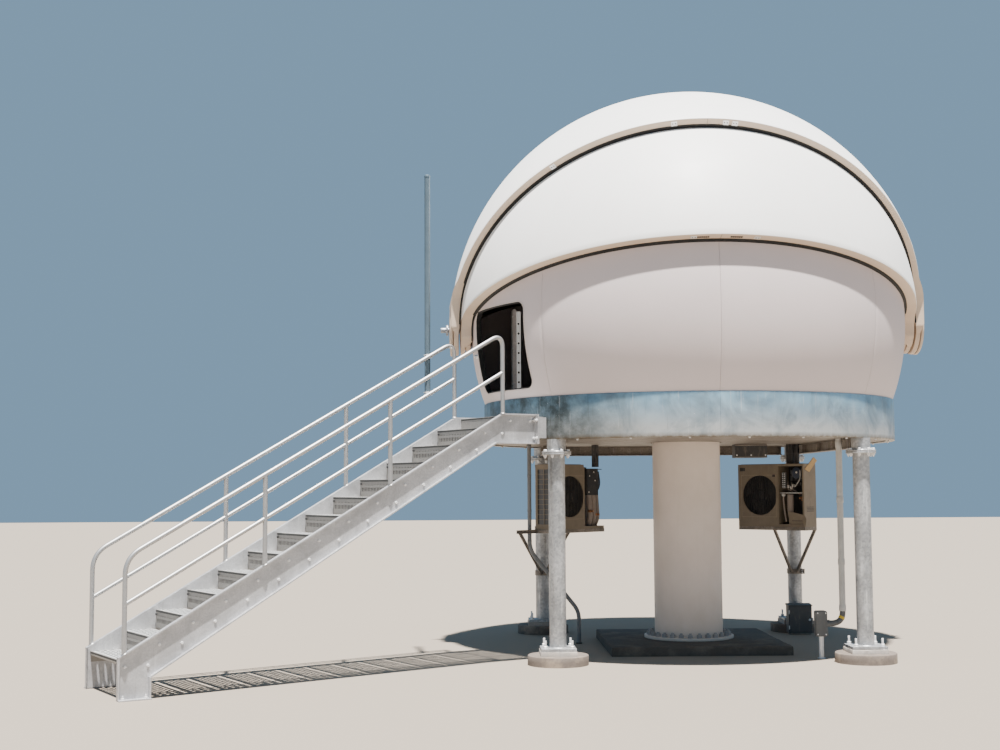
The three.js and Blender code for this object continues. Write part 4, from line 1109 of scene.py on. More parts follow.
def wall_top(azimuth):
    turn = abs(math.sin(math.radians(azimuth)))
    rim = math.degrees(math.atan(math.tan(math.radians(WALL_RIM)) * turn))
    from_pivot = math.degrees(math.asin(turn))
    reach = EAR + 1
    ear = math.sqrt(reach**2 - from_pivot**2) if from_pivot < reach else 0.0
    return max(rim, ear)


def compass(azimuth, elevation):
    a, e = math.radians(azimuth), math.radians(elevation)
    return np.array([math.cos(e) * math.cos(a), math.cos(e) * math.sin(a), math.sin(e)])


def wall_panel(first, last):
    """A panel of the wall with rounded edges, between two azimuths."""
    count = max(2, int((last - first) / 1.0))
    rows = 26
    edge = 0.004
    loops = []
    azimuths = list(np.linspace(first, last, count + 1))
    trim = math.degrees(edge / WALL_R)
    azimuths = [first] + [first + 0.3 * trim, first + trim] + azimuths[1:-1]
    azimuths += [last - trim, last - 0.3 * trim, last]
    depths = [edge, 0.3 * edge, 0.0] + [0.0] * (len(azimuths) - 6) + [0.0, 0.3 * edge, edge]
    for azimuth, depth in zip(azimuths, depths):
        top = wall_top(azimuth)
        loop = []
        for share in np.linspace(0, 1, rows):
            elevation = WALL_BOTTOM + (top - WALL_BOTTOM) * share
            loop.append((elevation, WALL_R - depth))
        loop.append((top + math.degrees(0.0025 / WALL_R), WALL_R - max(depth, 0.006)))
        for share in np.linspace(1, 0, rows):
            elevation = WALL_BOTTOM + (top - WALL_BOTTOM) * share
            loop.append((elevation, WALL_R - WALL_T))
        loops.append([compass(azimuth, e) * r + CENTRE for e, r in loop])
    return lattice(loops[::-1], across=True, caps=True)


def seam_strip(azimuth):
    """The sealant behind the joint between two panels."""
    half = 0.14
    loops = []
    for share in np.linspace(0.0, 1.0, 27):
        elevation = WALL_BOTTOM + (wall_top(azimuth) - WALL_BOTTOM) * share
        corners = rectangle(-half, WALL_R - 0.016, half, WALL_R - 0.005)
        loops.append([compass(azimuth + a, elevation) * r + CENTRE for a, r in corners])
    return lattice(loops, across=True, caps=True)


def next_corner(corners, start, r):
    """Where the corner after the one that starts at this angle begins."""
    for across, up, angle in corners:
        if (angle - start) % 360 == 90:
            turn = math.radians(angle)
            return (across + r * math.cos(turn), up + r * math.sin(turn))


def door_outline(grow, steps=8, extra=DOOR_EXTRA):
    """The doorway's outline: across and up from its middle."""
    w, h = DOOR_W / 2 + grow, DOOR_H / 2 + grow
    left = -w - extra
    r = DOOR_CORNER + grow
    corners = ((w - r, -h + r, -90), (w - r, h - r, 0), (left + r, h - r, 90), (left + r, -h + r, 180))
    points = []
    for across, up, start in corners:
        for i in range(steps + 1):
            angle = math.radians(start + 90 * i / steps)
            points.append((across + r * math.cos(angle), up + r * math.sin(angle)))
        ends = points[-1], next_corner(corners, start, r)
        for i in range(1, DOOR_SIDE_STEPS):
            t = i / DOOR_SIDE_STEPS
            points.append(tuple(a + (b - a) * t for a, b in zip(*ends)))
    return points


def at_door(part):
    """From the doorway's own frame (X outwards, Y across, Z up) to the part's frame."""
    return turned(part, DOOR_AZIMUTH)


def on_wall(across, up, radius):
    """A point over the doorway's frame on a sphere about the dome's centre."""
    z = DOOR_MIDDLE_Z + up
    out = math.sqrt(radius**2 - (z - DOME_Z) ** 2 - across**2)
    return (out, across, z)


def cut_doorway(piece):
    """Cuts the doorway through the wall panel."""
    outline = [(y, z + DOOR_MIDDLE_Z) for y, z in door_outline(0.0, 10)]
    rows = [[(x, y, z) for y, z in outline] for x in (1.8, 2.7)]
    points, faces = at_door(lattice(rows, across=True, caps=True))
    mesh = bpy.data.meshes.new("doorway_cut")
    mesh.from_pydata(np.asarray(points).tolist(), [], faces)
    cutter = bpy.data.objects.new("doorway_cut", mesh)
    bpy.context.scene.collection.objects.link(cutter)
    cut = piece.modifiers.new("doorway", "BOOLEAN")
    cut.operation = "DIFFERENCE"
    cut.solver = "EXACT"
    cut.object = cutter
    shape = bpy.context.evaluated_depsgraph_get()
    result = bpy.data.meshes.new_from_object(piece.evaluated_get(shape))
    piece.modifiers.remove(cut)
    piece.data = result
    bpy.data.objects.remove(cutter)
    result.shade_smooth()
    result.set_sharp_from_angle(angle=math.radians(38))


def build_wall():
    panels = {
        "near_left": [(225, 270)],
        "near_right": [(270, 315)],
        "far_right": [(45, 90)],
        "far_left": [(90, 135)],
        "right_pivot": [(-45, 0), (0, 45)],
        "left_pivot": [(135, 180), (180, 225)],
    }
    seam = math.degrees(0.0008 / WALL_R)
    for name, spans in panels.items():
        piece = Piece("wall_panel_" + name)
        for first, last in spans:
            piece.add(wall_panel(first + seam, last - seam), WALL)
            piece.add(seam_strip(last), SEAM)
        nodes = ["wall_" + name]
        if name == "left_pivot":
            nodes += ["wall_door_jamb", "wall_over_door", "wall_door_sill"]
        made = piece.make("base", nodes, angle=38)
        if name == "left_pivot":
            cut_doorway(made)


def build_door_frame():
    """A rounded edge trim round the doorway, the frame behind it and the latch."""
    piece = Piece("door_surround")
    outline = door_outline(0.0, 10)
    wide = door_outline(0.012, 10)
    frame_edge = door_outline(0.055, 10)
    count = len(outline)
    loops = []
    for i in range(count):
        (y, z), (wide_y, wide_z) = outline[i], wide[i]
        mid_y, mid_z = (y + wide_y) / 2, (z + wide_z) / 2
        inset_y, inset_z = y * 0.994, z * 0.994
        loops.append(
            [
                on_wall(inset_y, inset_z, WALL_R + 0.001),
                on_wall(y, z, WALL_R + 0.0035),
                on_wall(mid_y, mid_z, WALL_R + 0.004),
                on_wall(wide_y, wide_z, WALL_R + 0.0025),
                on_wall(wide_y, wide_z, WALL_R - 0.003),
                on_wall(inset_y, inset_z, WALL_R - 0.003),
            ]
        )
    piece.add(at_door(lattice(loops, across=True, along=True)), TRIM)
    gasket = []
    for (y, z), (soft_y, soft_z) in zip(outline, door_outline(-0.014, 10)):
        corners = ((y, z, 0.0012), (soft_y, soft_z, -0.003), (soft_y, soft_z, -0.036), (y, z, -0.040))
        gasket.append([on_wall(across, up, WALL_R + depth) for across, up, depth in reversed(corners)])
    piece.add(at_door(lattice(gasket, across=True, along=True)), RUBBER)
    inner = WALL_R - WALL_T
    loops = []
    for (y, z), (edge_y, edge_z) in zip(outline, frame_edge):
        loops.append(
            [
                on_wall(y, z, inner - 0.001),
                on_wall(edge_y, edge_z, inner - 0.001),
                on_wall(edge_y, edge_z, inner - 0.012),
                on_wall((y + edge_y) / 2, (z + edge_z) / 2, inner - 0.014),
                on_wall((y + edge_y) / 2, (z + edge_z) / 2, inner - 0.040),
                on_wall(y, z, inner - 0.040),
            ]
        )
    piece.add(at_door(lattice(loops, across=True, along=True)), RUBBER)
    for z in HINGES_Z:
        piece.add(at_door(hinge_plate(z)), BOLT)
    latch = towards(
        merged(disc(0.030, 0, 0.012, 0.003, 24), disc(0.017, 0.010, 0.045, 0.006, 20)),
        (0, 0, 0),
        (1, 0, 0),
    )
    place = on_wall(-DOOR_W / 2 - DOOR_EXTRA - 0.04, -0.03, WALL_R - 0.002)
    piece.add(at_door(shifted(latch, *place)), BOLT)
    piece.make("base", ["door_frame"], angle=38)


def hinge_plate(z):
    reach = math.sqrt((WALL_R - WALL_T - 0.015) ** 2 - (z - DOME_Z) ** 2 - HINGE_Y**2)
    flat = box((HINGE_X - 0.012, HINGE_Y - 0.008, z - 0.014), (reach, HINGE_Y + 0.010, z - 0.002))
    pin = shifted(disc(0.008, z - 0.006, z - 0.0008, 0.001, 20), HINGE_X, HINGE_Y)
    return merged(flat, pin)


def build_door_leaf():
    """The curved leaf with a pressed panel, its rubber edge, handle and hinge arms."""
    piece = Piece("door_leaf_panel")
    swing = Matrix.Translation((HINGE_X, HINGE_Y, 0))
    swing = swing @ Matrix.Rotation(math.radians(-LEAF_OPEN), 4, "Z")
    swing = swing @ Matrix.Translation((-HINGE_X, -HINGE_Y, 0))

    def hang(part, material):
        piece.add(at_door(placed(part, swing)), material)

    outer, inner = LEAF_OUTER, LEAF_OUTER - LEAF_T
    steps = 10
    levels = [LEAF_LAP, LEAF_LAP - 0.006, LEAF_LAP - 0.05, LEAF_LAP - 0.06]
    rings = [door_outline(level, steps) for level in levels]
    for radius, sign in ((outer, -1), (inner, 1)):
        depths = (0.006, 0.0, 0.0, 0.006)
        loops = []
        for ring, depth in zip(rings, depths):
            loops.append([on_wall(y, z, radius + sign * depth) for y, z in ring])
        last = rings[-1]
        for share in (0.85, 0.7, 0.5, 0.3, 0.12):
            loops.append([on_wall(y * share, z * share, radius + sign * 0.006) for y, z in last])
        hang(lattice(loops, across=True, caps=True), WALL if sign < 0 else INSIDE)
    edge = []
    for y, z in rings[0]:
        edge.append(
            [
                on_wall(y, z, outer - 0.006),
                on_wall(y, z, inner + 0.006),
                on_wall(y * 0.99, z * 0.99, inner + 0.006),
                on_wall(y * 0.99, z * 0.99, outer - 0.006),
            ]
        )
    hang(lattice(edge, across=True, along=True), RUBBER)
    for z in HINGES_Z:
        barrel = tube([(HINGE_X, HINGE_Y, z), (HINGE_X, HINGE_Y, z + BARREL_H)], 0.015, 20)
        level = z + BARREL_H / 2 - DOME_Z
        reach = math.sqrt((LEAF_OUTER - LEAF_T / 2) ** 2 - level**2 - (HINGE_Y - 0.030) ** 2)
        arm = box((HINGE_X, HINGE_Y - 0.055, z + 0.005), (reach, HINGE_Y - 0.020, z + BARREL_H - 0.005))
        link = box(
            (HINGE_X - 0.007, HINGE_Y - 0.055, z + 0.005),
            (HINGE_X + 0.007, HINGE_Y - 0.008, z + BARREL_H - 0.005),
        )
        hang(merged(arm, link), BOLT)
        hang(barrel, BOLT)
        top = z + BARREL_H
        hang(shifted(disc(0.008, top - 0.001, top + 0.008, 0.002, 20), HINGE_X, HINGE_Y), BOLT)
    grip = []
    for share in np.linspace(0, 1, 15):
        z = -0.09 + 0.18 * share
        out = on_wall(-DOOR_W / 2 - DOOR_EXTRA + 0.06, z, inner)
        grip.append((out[0] - 0.035 * math.sin(math.pi * share) ** 0.5 - 0.002, out[1], out[2]))
    hang(tube(grip, 0.008, 12), BOLT)
    piece.make("door", ["door_leaf"], angle=38)


def build_upright():
    """The drilled flat bar with a hooked top, and the thin tube clipped beside it."""
    piece = Piece("drilled_upright")
    x, y = UPRIGHT
    floor = BAND_TOP_Z + GAP
    height = UPRIGHT_TOP_Z - floor
    half = 0.038
    top = [(half * math.cos(a), height - half + half * math.sin(a)) for a in np.linspace(0, math.pi, 13)]
    outline = [(-half, 0.0), (half, 0.0), *top[1:-1], (-half, height - half)]
    outline.insert(2, (half, height - half))
    holes = []
    for level in np.arange(height - 0.170, 0.050, -0.110):
        holes.append([(px + 0.006, py + level) for px, py in circle(0.0125, 14)])
    strip = plate(outline, holes, 0.010)
    stand = Matrix(((0, 0, 1), (1, 0, 0), (0, 1, 0))).to_4x4()
    piece.add(at_door(placed(strip, Matrix.Translation((x, y, floor)) @ stand)), UPRIGHT_EDGE)
    side = box((x - 0.058, y + 0.028, floor), (x - 0.004, y + half, UPRIGHT_TOP_Z - 0.03))
    piece.add(at_door(side), UPRIGHT_PAINT)
    # Black discs on the side strip at the holes' levels: painted shade, in place of holes
    for level in np.arange(height - 0.170, 0.050, -0.110):
        place = (x - 0.030, y + half - 0.0006, floor + level)
        back = towards(disc(0.0130, 0.0, 0.0012, 0.0, 14), place, (0, 1, 0))
        piece.add(at_door(back), BLACK)
    foot = box((x - 0.060, y - 0.060, floor), (x + 0.060, y + 0.060, floor + 0.010))
    piece.add(at_door(foot), RAIL)
    for dx, dy in ((-0.042, -0.046), (0.042, -0.046), (-0.042, 0.046), (0.042, 0.046)):
        piece.add(at_door(shifted(hex_head(0.017, 0.010), x + dx, y + dy, floor + 0.010)), BOLT)
    rod_y = y - 0.060
    top_z = UPRIGHT_TOP_Z + 0.010
    rod = [(x, rod_y, floor + 0.150), (x, rod_y, top_z - 0.05)]
    rod += [(x - 0.010, rod_y, top_z - 0.02), (x - 0.030, rod_y, top_z - 0.009)]
    piece.add(at_door(tube(rod, 0.009, 12)), RAIL)
    for level in (0.240, 0.640, height - 0.080):
        z = floor + level
        clip = box((x - 0.004, rod_y - 0.012, z - 0.012), (x + 0.004, y, z + 0.012))
        piece.add(at_door(clip), BOLT)
        head = towards(hex_head(0.013, 0.008), (0, 0, 0), (1, 0, 0))
        piece.add(at_door(shifted(head, x + 0.005, y - 0.02, z)), BOLT)
    piece.make("base", ["door_upright"], bevel=0.0015)


def build_pivots():
    """The pivot pins with a cap, washer and ring of screws outside, and the plate inside."""
    outside = SHUTTERS["far_top"][6][1]
    for name, end, reach in (("left", -1, 0.095), ("right", 1, 0.045)):
        piece = Piece("pivot_hub_" + name)

        def hub(part, material=PIN):
            piece.add(towards(part, (0, 0, DOME_Z), (end, 0, 0)), material)

        low = WALL_R - WALL_T - 0.040
        hub(tube([(0, 0, low), (0, 0, outside + 0.030)], 0.0298, 32))
        hub(shifted(disc(0.062, 0.008, 0.028, 0.004, 40), z=outside))
        hub(shifted(disc(0.110, 0.0, 0.020, 0.004, 40), z=low))
        hub(shifted(disc(0.0298, 0.0, reach - 0.028, 0.006, 32), z=outside + 0.028))
        for x, y in circle(0.047, 6):
            hub(shifted(hex_head(0.013, 0.008), x, y, outside + 0.028), RAIL)
        for x, y in circle(0.085, 8):
            hub(shifted(hex_head(0.017, -0.010), x, y, low), RAIL)
        piece.make("base", ["pivot_" + name], bevel=0.0, angle=30)


# Deck, band and legs


def band_profile():
    """The rolled channel's outline, with rounded outer corners."""
    outer, inner, lip = BAND_R, BAND_R - BAND_T, BAND_R - BAND_FLANGE
    r = 0.010
    steps = np.linspace(0, math.pi / 2, 5)
    low = [(outer - r + r * math.sin(a), BAND_BOTTOM_Z + r - r * math.cos(a)) for a in steps]
    high = [(outer - r + r * math.cos(a), BAND_TOP_Z - r + r * math.sin(a)) for a in steps]
    walls = [
        (lip, BAND_TOP_Z),
        (lip, BAND_TOP_Z - BAND_T),
        (inner, BAND_TOP_Z - BAND_T),
        (inner, BAND_BOTTOM_Z + BAND_T),
        (lip, BAND_BOTTOM_Z + BAND_T),
        (lip, BAND_BOTTOM_Z),
    ]
    return low + high + walls


def build_band():
    profile = band_profile()
    for name, (i, j) in CORNERS.items():
        first = {"far_right": 0, "far_left": 90, "near_left": 180, "near_right": 270}[name]
        piece = Piece("band_quarter_" + name)
        trim = 0.02
        piece.add(revolve(profile, 60, first + trim, 90 - 2 * trim), BAND)
        x, y = i * LEG_OFFSET, j * LEG_OFFSET
        bottom = HEAD_FLANGE_Z + GAP
        top = bottom + HEAD_FLANGE_T
        piece.add(shifted(disc(HEAD_FLANGE_R, bottom, top, 0.003, 48), x, y), LEG)
        piece.add(shifted(tube([(0, 0, top - 0.002), (0, 0, BAND_BOTTOM_Z + 0.004)], HEAD_R, 40), x, y), LEG)
        bead = weld_ring(HEAD_R, top)
        piece.add(shifted(bead, x, y), LEG)
        for px, py in circle(0.123, 8, math.radians(22.5)):
            piece.add(shifted(hex_head(0.030, 0.019), x + px, y + py, top), BOLT)
        for azimuth in np.arange(first + 7.5, first + 90, 15):
            place = turned(([(BAND_R - 0.048, 0, BAND_BOTTOM_Z)], []), azimuth)[0][0]
            piece.add(towards(hex_head(0.019, 0.012), place, (0, 0, -1)), BOLT)
        piece.make("base", ["band_" + name], angle=40)


def weld_ring(radius, z, size=0.007, steps=96):
    """A fillet weld round a pipe's foot, with the ripples that a weld has."""
    rows = []
    for i in range(steps):
        angle = 2 * math.pi * i / steps
        swell = size * (1 + 0.12 * math.sin(i * 2.6) + 0.08 * math.sin(i * 7.1))
        row = []
        for r, h in (
            (radius - 0.001, z - 0.001),
            (radius + swell, z - 0.001),
            (radius + 0.55 * swell, z + 0.55 * swell),
            (radius - 0.001, z + swell),
        ):
            row.append((r * math.cos(angle), r * math.sin(angle), h))
        rows.append(row)
    return lattice(rows, across=True, along=True)


def rough_block(low, high, amount, seed, cuts=10):
    """A cast block whose edges are weathered unevenly: a grid on each face, pushed about a little."""
    random = np.random.default_rng(seed)
    (x0, y0, z0), (x1, y1, z1) = low, high
    outline = []
    for a, b in (((x0, y0), (x1, y0)), ((x1, y0), (x1, y1)), ((x1, y1), (x0, y1)), ((x0, y1), (x0, y0))):
        for i in range(cuts):
            t = i / cuts
            outline.append((a[0] + (b[0] - a[0]) * t, a[1] + (b[1] - a[1]) * t))
    middle = ((x0 + x1) / 2, (y0 + y1) / 2)
    rows = []
    for z, inset in (
        (z0, 0.0),
        (z1 - 2.5 * amount, 0.4 * amount),
        (z1 - amount, 1.2 * amount),
        (z1, 3.5 * amount),
    ):
        row = []
        for x, y in outline:
            away = Vector((x - middle[0], y - middle[1]))
            cut = inset * (0.4 + 1.2 * random.random())
            place = away - away.normalized() * cut
            drop = 0.5 * amount * random.random() if inset else 0
            row.append((middle[0] + place.x, middle[1] + place.y, z - drop))
        rows.append(row)
    return lattice(rows, across=True, caps=True)


def rough_disc(radius, low, high, amount, seed, steps=72):
    """A cast round block with an uneven weathered edge."""
    random = np.random.default_rng(seed)
    wobble = random.random(steps)
    wobble = (wobble + np.roll(wobble, 1) + np.roll(wobble, 2)) / 3
    rows = []
    levels = (
        (low, 0.0),
        (low + 0.4 * (high - low), 0.2),
        (high - 2 * amount, 0.3),
        (high - 0.7 * amount, 1.0),
        (high, 2.6),
    )
    for z, inset in levels:
        row = []
        for i in range(steps):
            angle = 2 * math.pi * i / steps
            r = radius - amount * inset * (0.3 + 1.4 * wobble[i])
            row.append((r * math.cos(angle), r * math.sin(angle), z))
        rows.append(row)
    turns = [2 * math.pi * i / steps for i in range(steps)]
    rows.append([(0.72 * radius * math.cos(a), 0.72 * radius * math.sin(a), high) for a in turns])
    return lattice(rows, across=True, caps=True)


def build_legs():
    for seed, (name, (i, j)) in enumerate(CORNERS.items()):
        x, y = i * LEG_OFFSET, j * LEG_OFFSET
        footing = Piece("footing_block_" + name)
        footing.add(shifted(rough_disc(FOOTING_R, 0, FOOTING_H, 0.004, seed), x, y), FOOTING)
        footing.make("base", ["footing_" + name], angle=50)
        half = BASE_PLATE / 2
        low = FOOTING_H + GAP
        plate_low = low + GROUT_H
        plate_top = plate_low + PLATE_T
        piece = Piece("leg_post_" + name)
        wide = half + 0.008
        grout = rough_block((-wide, -wide, low), (wide, wide, plate_low + 0.002), 0.005, 20 + seed)
        piece.add(shifted(grout, x, y), GROUT)
        flat = rectangle(-half, -half, half, half)
        piece.add(shifted(prism(flat, plate_low, plate_top), x, y), LEG)
        top = HEAD_FLANGE_Z - HEAD_FLANGE_T
        piece.add(shifted(tube([(0, 0, plate_top - 0.002), (0, 0, top + 0.002)], LEG_R, 56), x, y), LEG)
        piece.add(shifted(disc(HEAD_FLANGE_R, top, HEAD_FLANGE_Z, 0.003, 56), x, y), LEG)
        piece.add(shifted(weld_ring(LEG_R, plate_top), x, y), LEG)
        for px, py in circle(0.123, 8, math.radians(22.5)):
            nut = towards(anchor(0.030, 0.020, 0.012), (x + px, y + py, top), (0, 0, -1))
            piece.add(nut, BOLT)
        for sx in (-1, 1):
            for sy in (-1, 1):
                place = (x + sx * (half - 0.042), y + sy * (half - 0.042), plate_top)
                piece.add(shifted(anchor(0.036, 0.026, 0.055), *place), BOLT)
        piece.make("base", ["leg_" + name], angle=32)


def build_pier():
    pad = Piece("pier_slab")
    half = PAD / 2
    pad.add(rough_block((-half, -half, 0), (half, half, PAD_H), 0.006, 7, cuts=40), SLAB)
    pad.make("base", ["pier_pad"], angle=50)
    piece = Piece("pier_column")
    low = PAD_H + GAP
    piece.add(tube([(0, 0, low + PIER_FLANGE_T - 0.002), (0, 0, PIER_TOP_Z - 0.02)], PIER_R, 128), CREAM)
    piece.add(disc(PIER_FLANGE_R, low, low + PIER_FLANGE_T, 0.004, 128), CREAM)
    piece.add(disc(PIER_R + 0.020, PIER_TOP_Z - 0.025, PIER_TOP_Z, 0.004, 128), CREAM)
    piece.add(weld_ring(PIER_R, low + PIER_FLANGE_T, 0.012, 160), CREAM)
    ring = (PIER_FLANGE_R + PIER_R) / 2 + 0.004
    for i in range(28):
        nut = shifted(anchor(0.050, 0.034, 0.016), ring, 0, low + PIER_FLANGE_T)
        piece.add(turned(nut, 360 * (i + 0.5) / 28), NUT)
    piece.make("base", ["pier"], angle=32)


def build_deck():
    """Floor, soffit, webs and the I beams below, with the ring round the pier's hole."""
    piece = Piece("deck_platform")
    hole = 0.400
    bottom = BAND_BOTTOM_Z + BAND_T + GAP
    lower_edge = BAND_R - BAND_T - 0.008
    upper_edge = BAND_R - BAND_FLANGE - 0.005
    floor = rectangle(hole, BAND_TOP_Z - 0.012, upper_edge, BAND_TOP_Z)
    piece.add(revolve(floor, 96), UNDERSIDE)
    soffit = rectangle(hole, bottom, lower_edge, bottom + 0.006)
    piece.add(revolve(soffit, 96), UNDERSIDE)
    collar = rectangle(hole, bottom, hole + 0.006, BAND_TOP_Z)
    piece.add(revolve(collar, 72), UNDERSIDE)
    low, high = bottom + 0.004, BAND_TOP_Z - 0.010
    for offset in (-0.700, 0.700):
        piece.add(box((-1.950, offset - 0.005, low), (1.950, offset + 0.005, high)), UNDERSIDE)
        piece.add(box((offset - 0.005, -1.950, low), (offset + 0.005, 1.950, high)), UNDERSIDE)
    offset = LEG_OFFSET - 0.025
    piece.add(shifted(beam(), y=offset), UNDERSIDE)
    for sign in (-1, 1):
        piece.add(shifted(turned(beam(), 90), x=sign * offset), UNDERSIDE)
    (x0, y0, z0), (x1, y1) = DECK_BOX
    piece.add(box((x0, y0, z0), (x1, y1, bottom + 0.002)), DARK)
    for z in (z0, bottom - 0.014):
        piece.add(box((x0 - 0.0005, y0 - 0.004, z), (x1 + 0.0005, y0 + 0.002, z + 0.010)), UNDERSIDE)
    for x in (x0 + 0.020, (x0 + x1) / 2, x1 - 0.020):
        screw = towards(hex_head(0.014, 0.006), (x, y0, z0 + 0.030), (0, -1, 0))
        piece.add(screw, BOLT)
    piece.make("base", ["deck"], bevel=0.0015)


def beam():
    """An I beam along X with stiffeners at its ends and bolts up into the deck."""
    low, top = BAND_BOTTOM_Z - BEAM_H, BAND_BOTTOM_Z + BAND_T + 0.003
    reach = LEG_OFFSET - BEAM_SETBACK
    half = 0.050
    section = [(-half, low), (half, low), (half, low + 0.009), (0.010, low + 0.010), (0.004, low + 0.016)]
    section += [(0.004, top - 0.016), (0.010, top - 0.010), (half, top - 0.009), (half, top), (-half, top)]
    section += [(-half, top - 0.009), (-0.010, top - 0.010), (-0.004, top - 0.016)]
    section += [(-0.004, low + 0.016), (-0.010, low + 0.010), (-half, low + 0.009)]
    rows = [[(x, y, z) for y, z in section] for x in (-reach, reach)]
    parts = [lattice(rows, across=True, caps=True)]
    for x in (-reach + 0.020, -0.7, 0.0, 0.7, reach - 0.020):
        for side in (-1, 1):
            rib = rectangle(side * 0.004, low + 0.01, side * 0.046, top - 0.01)
            rows = [[(x + dx, y, z) for y, z in rib] for dx in (-0.004, 0.004)]
            parts.append(lattice(rows, across=True, caps=True))
    return merged(*parts)


# Stair. In its own frame X runs outwards from the dome's axis and Y across the stair.


def top_edge(distance):
    return LAST_POST_Z - max(0.0, distance - LAST_POST) * STAIR_SLOPE


def at_stair(part):
    return turned(part, STAIR_AZIMUTH)


def mirrored(part):
    points, faces = part
    flipped = np.asarray(points) * np.array([1, -1, 1])
    return flipped, [face[::-1] for face in faces]


def stringer_outline():
    plumb = CHANNEL_H / math.cos(math.atan(STAIR_SLOPE))
    level_bottom = LAST_POST_Z - CHANNEL_H
    lower_bend = LAST_POST + (plumb - CHANNEL_H) / STAIR_SLOPE
    toe = LAST_POST + (LAST_POST_Z - plumb - TOE_Z) / STAIR_SLOPE
    inner = BAND_R + LANDING_GAP
    outline = [(STAIR_END, 0.0), (STAIR_END, top_edge(STAIR_END)), (LAST_POST, LAST_POST_Z)]
    outline += [(inner, LAST_POST_Z), (inner, level_bottom), (lower_bend, level_bottom)]
    outline += [(toe, TOE_Z), (toe, 0.0)]
    return outline, toe, lower_bend, level_bottom, inner


def tread_places():
    """Front edge and height of every tread, from the top one down."""
    return [(TOP_NOSING + i * TREAD_RUN, TOP_TREAD_Z - i * TREAD_RISE) for i in range(TREADS)]


def build_stringers():
    outline, toe, lower_bend, level_bottom, inner = stringer_outline()
    t = CHANNEL_FLANGE_T
    slanted = t / math.cos(math.atan(STAIR_SLOPE))
    upper = [(STAIR_END, top_edge(STAIR_END) - slanted), (STAIR_END, top_edge(STAIR_END))]
    upper += [(LAST_POST, LAST_POST_Z), (inner, LAST_POST_Z)]
    upper += [(inner, LAST_POST_Z - t), (LAST_POST, LAST_POST_Z - t)]
    lower = [(inner, level_bottom), (inner, level_bottom + t), (lower_bend, level_bottom + t)]
    lower += [(toe, TOE_Z + slanted), (toe, TOE_Z), (lower_bend, level_bottom)]
    face = STAIR_HALF - CHANNEL_FLANGE / 2
    reach = face + CHANNEL_FLANGE
    edge = face + LIT_FLANGE
    for name, side in (("near", 1), ("far", -1)):
        piece = Piece("stringer_channel_" + name)
        parts = [side_prism(outline, face, face + CHANNEL_T)]
        parts += [side_prism(points, face + 0.005, edge) for points in (upper, lower)]
        parts.append(box((toe, face, 0), (STAIR_END, reach, 0.012)))
        parts.append(box((toe, face, 0), (toe + t, edge, TOE_Z + 0.006)))
        parts.append(box((STAIR_END - 0.012, face, 0.004), (STAIR_END, edge, top_edge(STAIR_END) - 0.004)))
        parts.append(box((inner - 0.002, face, level_bottom), (inner + 0.010, reach + 0.010, LAST_POST_Z)))
        cleat = face + CHANNEL_T + 0.020
        cleat_low = (BAND_R - 0.045, cleat, level_bottom + 0.060)
        cleat_high = (inner + 0.005, cleat + 0.016, LAST_POST_Z - 0.030)
        parts.append(box(cleat_low, cleat_high))
        for part in parts:
            piece.add(at_stair(part if side > 0 else mirrored(part)), STRINGER)
        bolts = []
        for front, top in tread_places():
            for x in (front - TREAD_DEPTH + 0.034, front - 0.036):
                bolts.append((x, top - 0.052))
        bolts += [(LANDING_NOSING - 0.050, LANDING_Z - 0.052), (inner + 0.060, LANDING_Z - 0.052)]
        for x, z in bolts:
            head = towards(hex_head(0.022, 0.012), (x, face + CHANNEL_T, z), (0, 1, 0))
            piece.add(at_stair(head if side > 0 else mirrored(head)), BOLT)
        for z in (level_bottom + 0.060, LAST_POST_Z - 0.060):
            for depth in (0.020, reach - face - 0.012):
                head = towards(anchor(0.024, 0.014, 0.010), (inner + 0.010, face + depth, z), (1, 0, 0))
                piece.add(at_stair(head if side > 0 else mirrored(head)), BOLT)
        for x in (toe + 0.045, STAIR_END - 0.040):
            head = shifted(anchor(0.024, 0.016, 0.020), x, face + 0.050, 0.012)
            piece.add(at_stair(head if side > 0 else mirrored(head)), BOLT)
        piece.make("base", ["stringer_" + name], bevel=0.0018)


def build_railings():
    for name, side in (("near", 1), ("far", -1)):
        y = side * STAIR_HALF
        piece = Piece("handrail_" + name)

        def at(distance, height):
            return Vector((distance, y, top_edge(distance) + height))

        upper, lower = LAST_POST, LAST_POST + 3 * POST_PITCH
        corners = at(upper, RAIL_H), at(lower, RAIL_H)
        path = [at(upper, 0.001)]
        path += rounded_corner(path[0], corners[0], corners[1], RAIL_BEND, 12)
        path += rounded_corner(corners[0], corners[1], at(lower, 0.001), RAIL_BEND, 12)
        path.append(at(lower, 0.001))
        piece.add(at_stair(tube(path, RAIL_R, 24)), RAIL)
        middle = [at(upper - 0.008, MID_RAIL_H), at(lower, MID_RAIL_H)]
        piece.add(at_stair(tube(middle, RAIL_R * 0.9, 24)), RAIL)
        feet = []
        for k in range(4):
            distance = LAST_POST + k * POST_PITCH
            feet.append(distance)
            if k in (1, 2):
                piece.add(at_stair(tube([at(distance, 0.001), at(distance, RAIL_H)], RAIL_R, 24)), RAIL)
        for distance in feet:
            slope = 0.0 if distance == LAST_POST else STAIR_SLOPE
            bead = weld_ring(RAIL_R, 0.0, 0.006, 40)
            points = np.asarray(bead[0]).copy()
            points[:, 2] -= points[:, 0] * slope
            spot = at(distance, 0.0005)
            piece.add(at_stair(shifted((points, bead[1]), spot.x, spot.y, spot.z)), RAIL)
        piece.make("base", ["railing_" + name], angle=40)


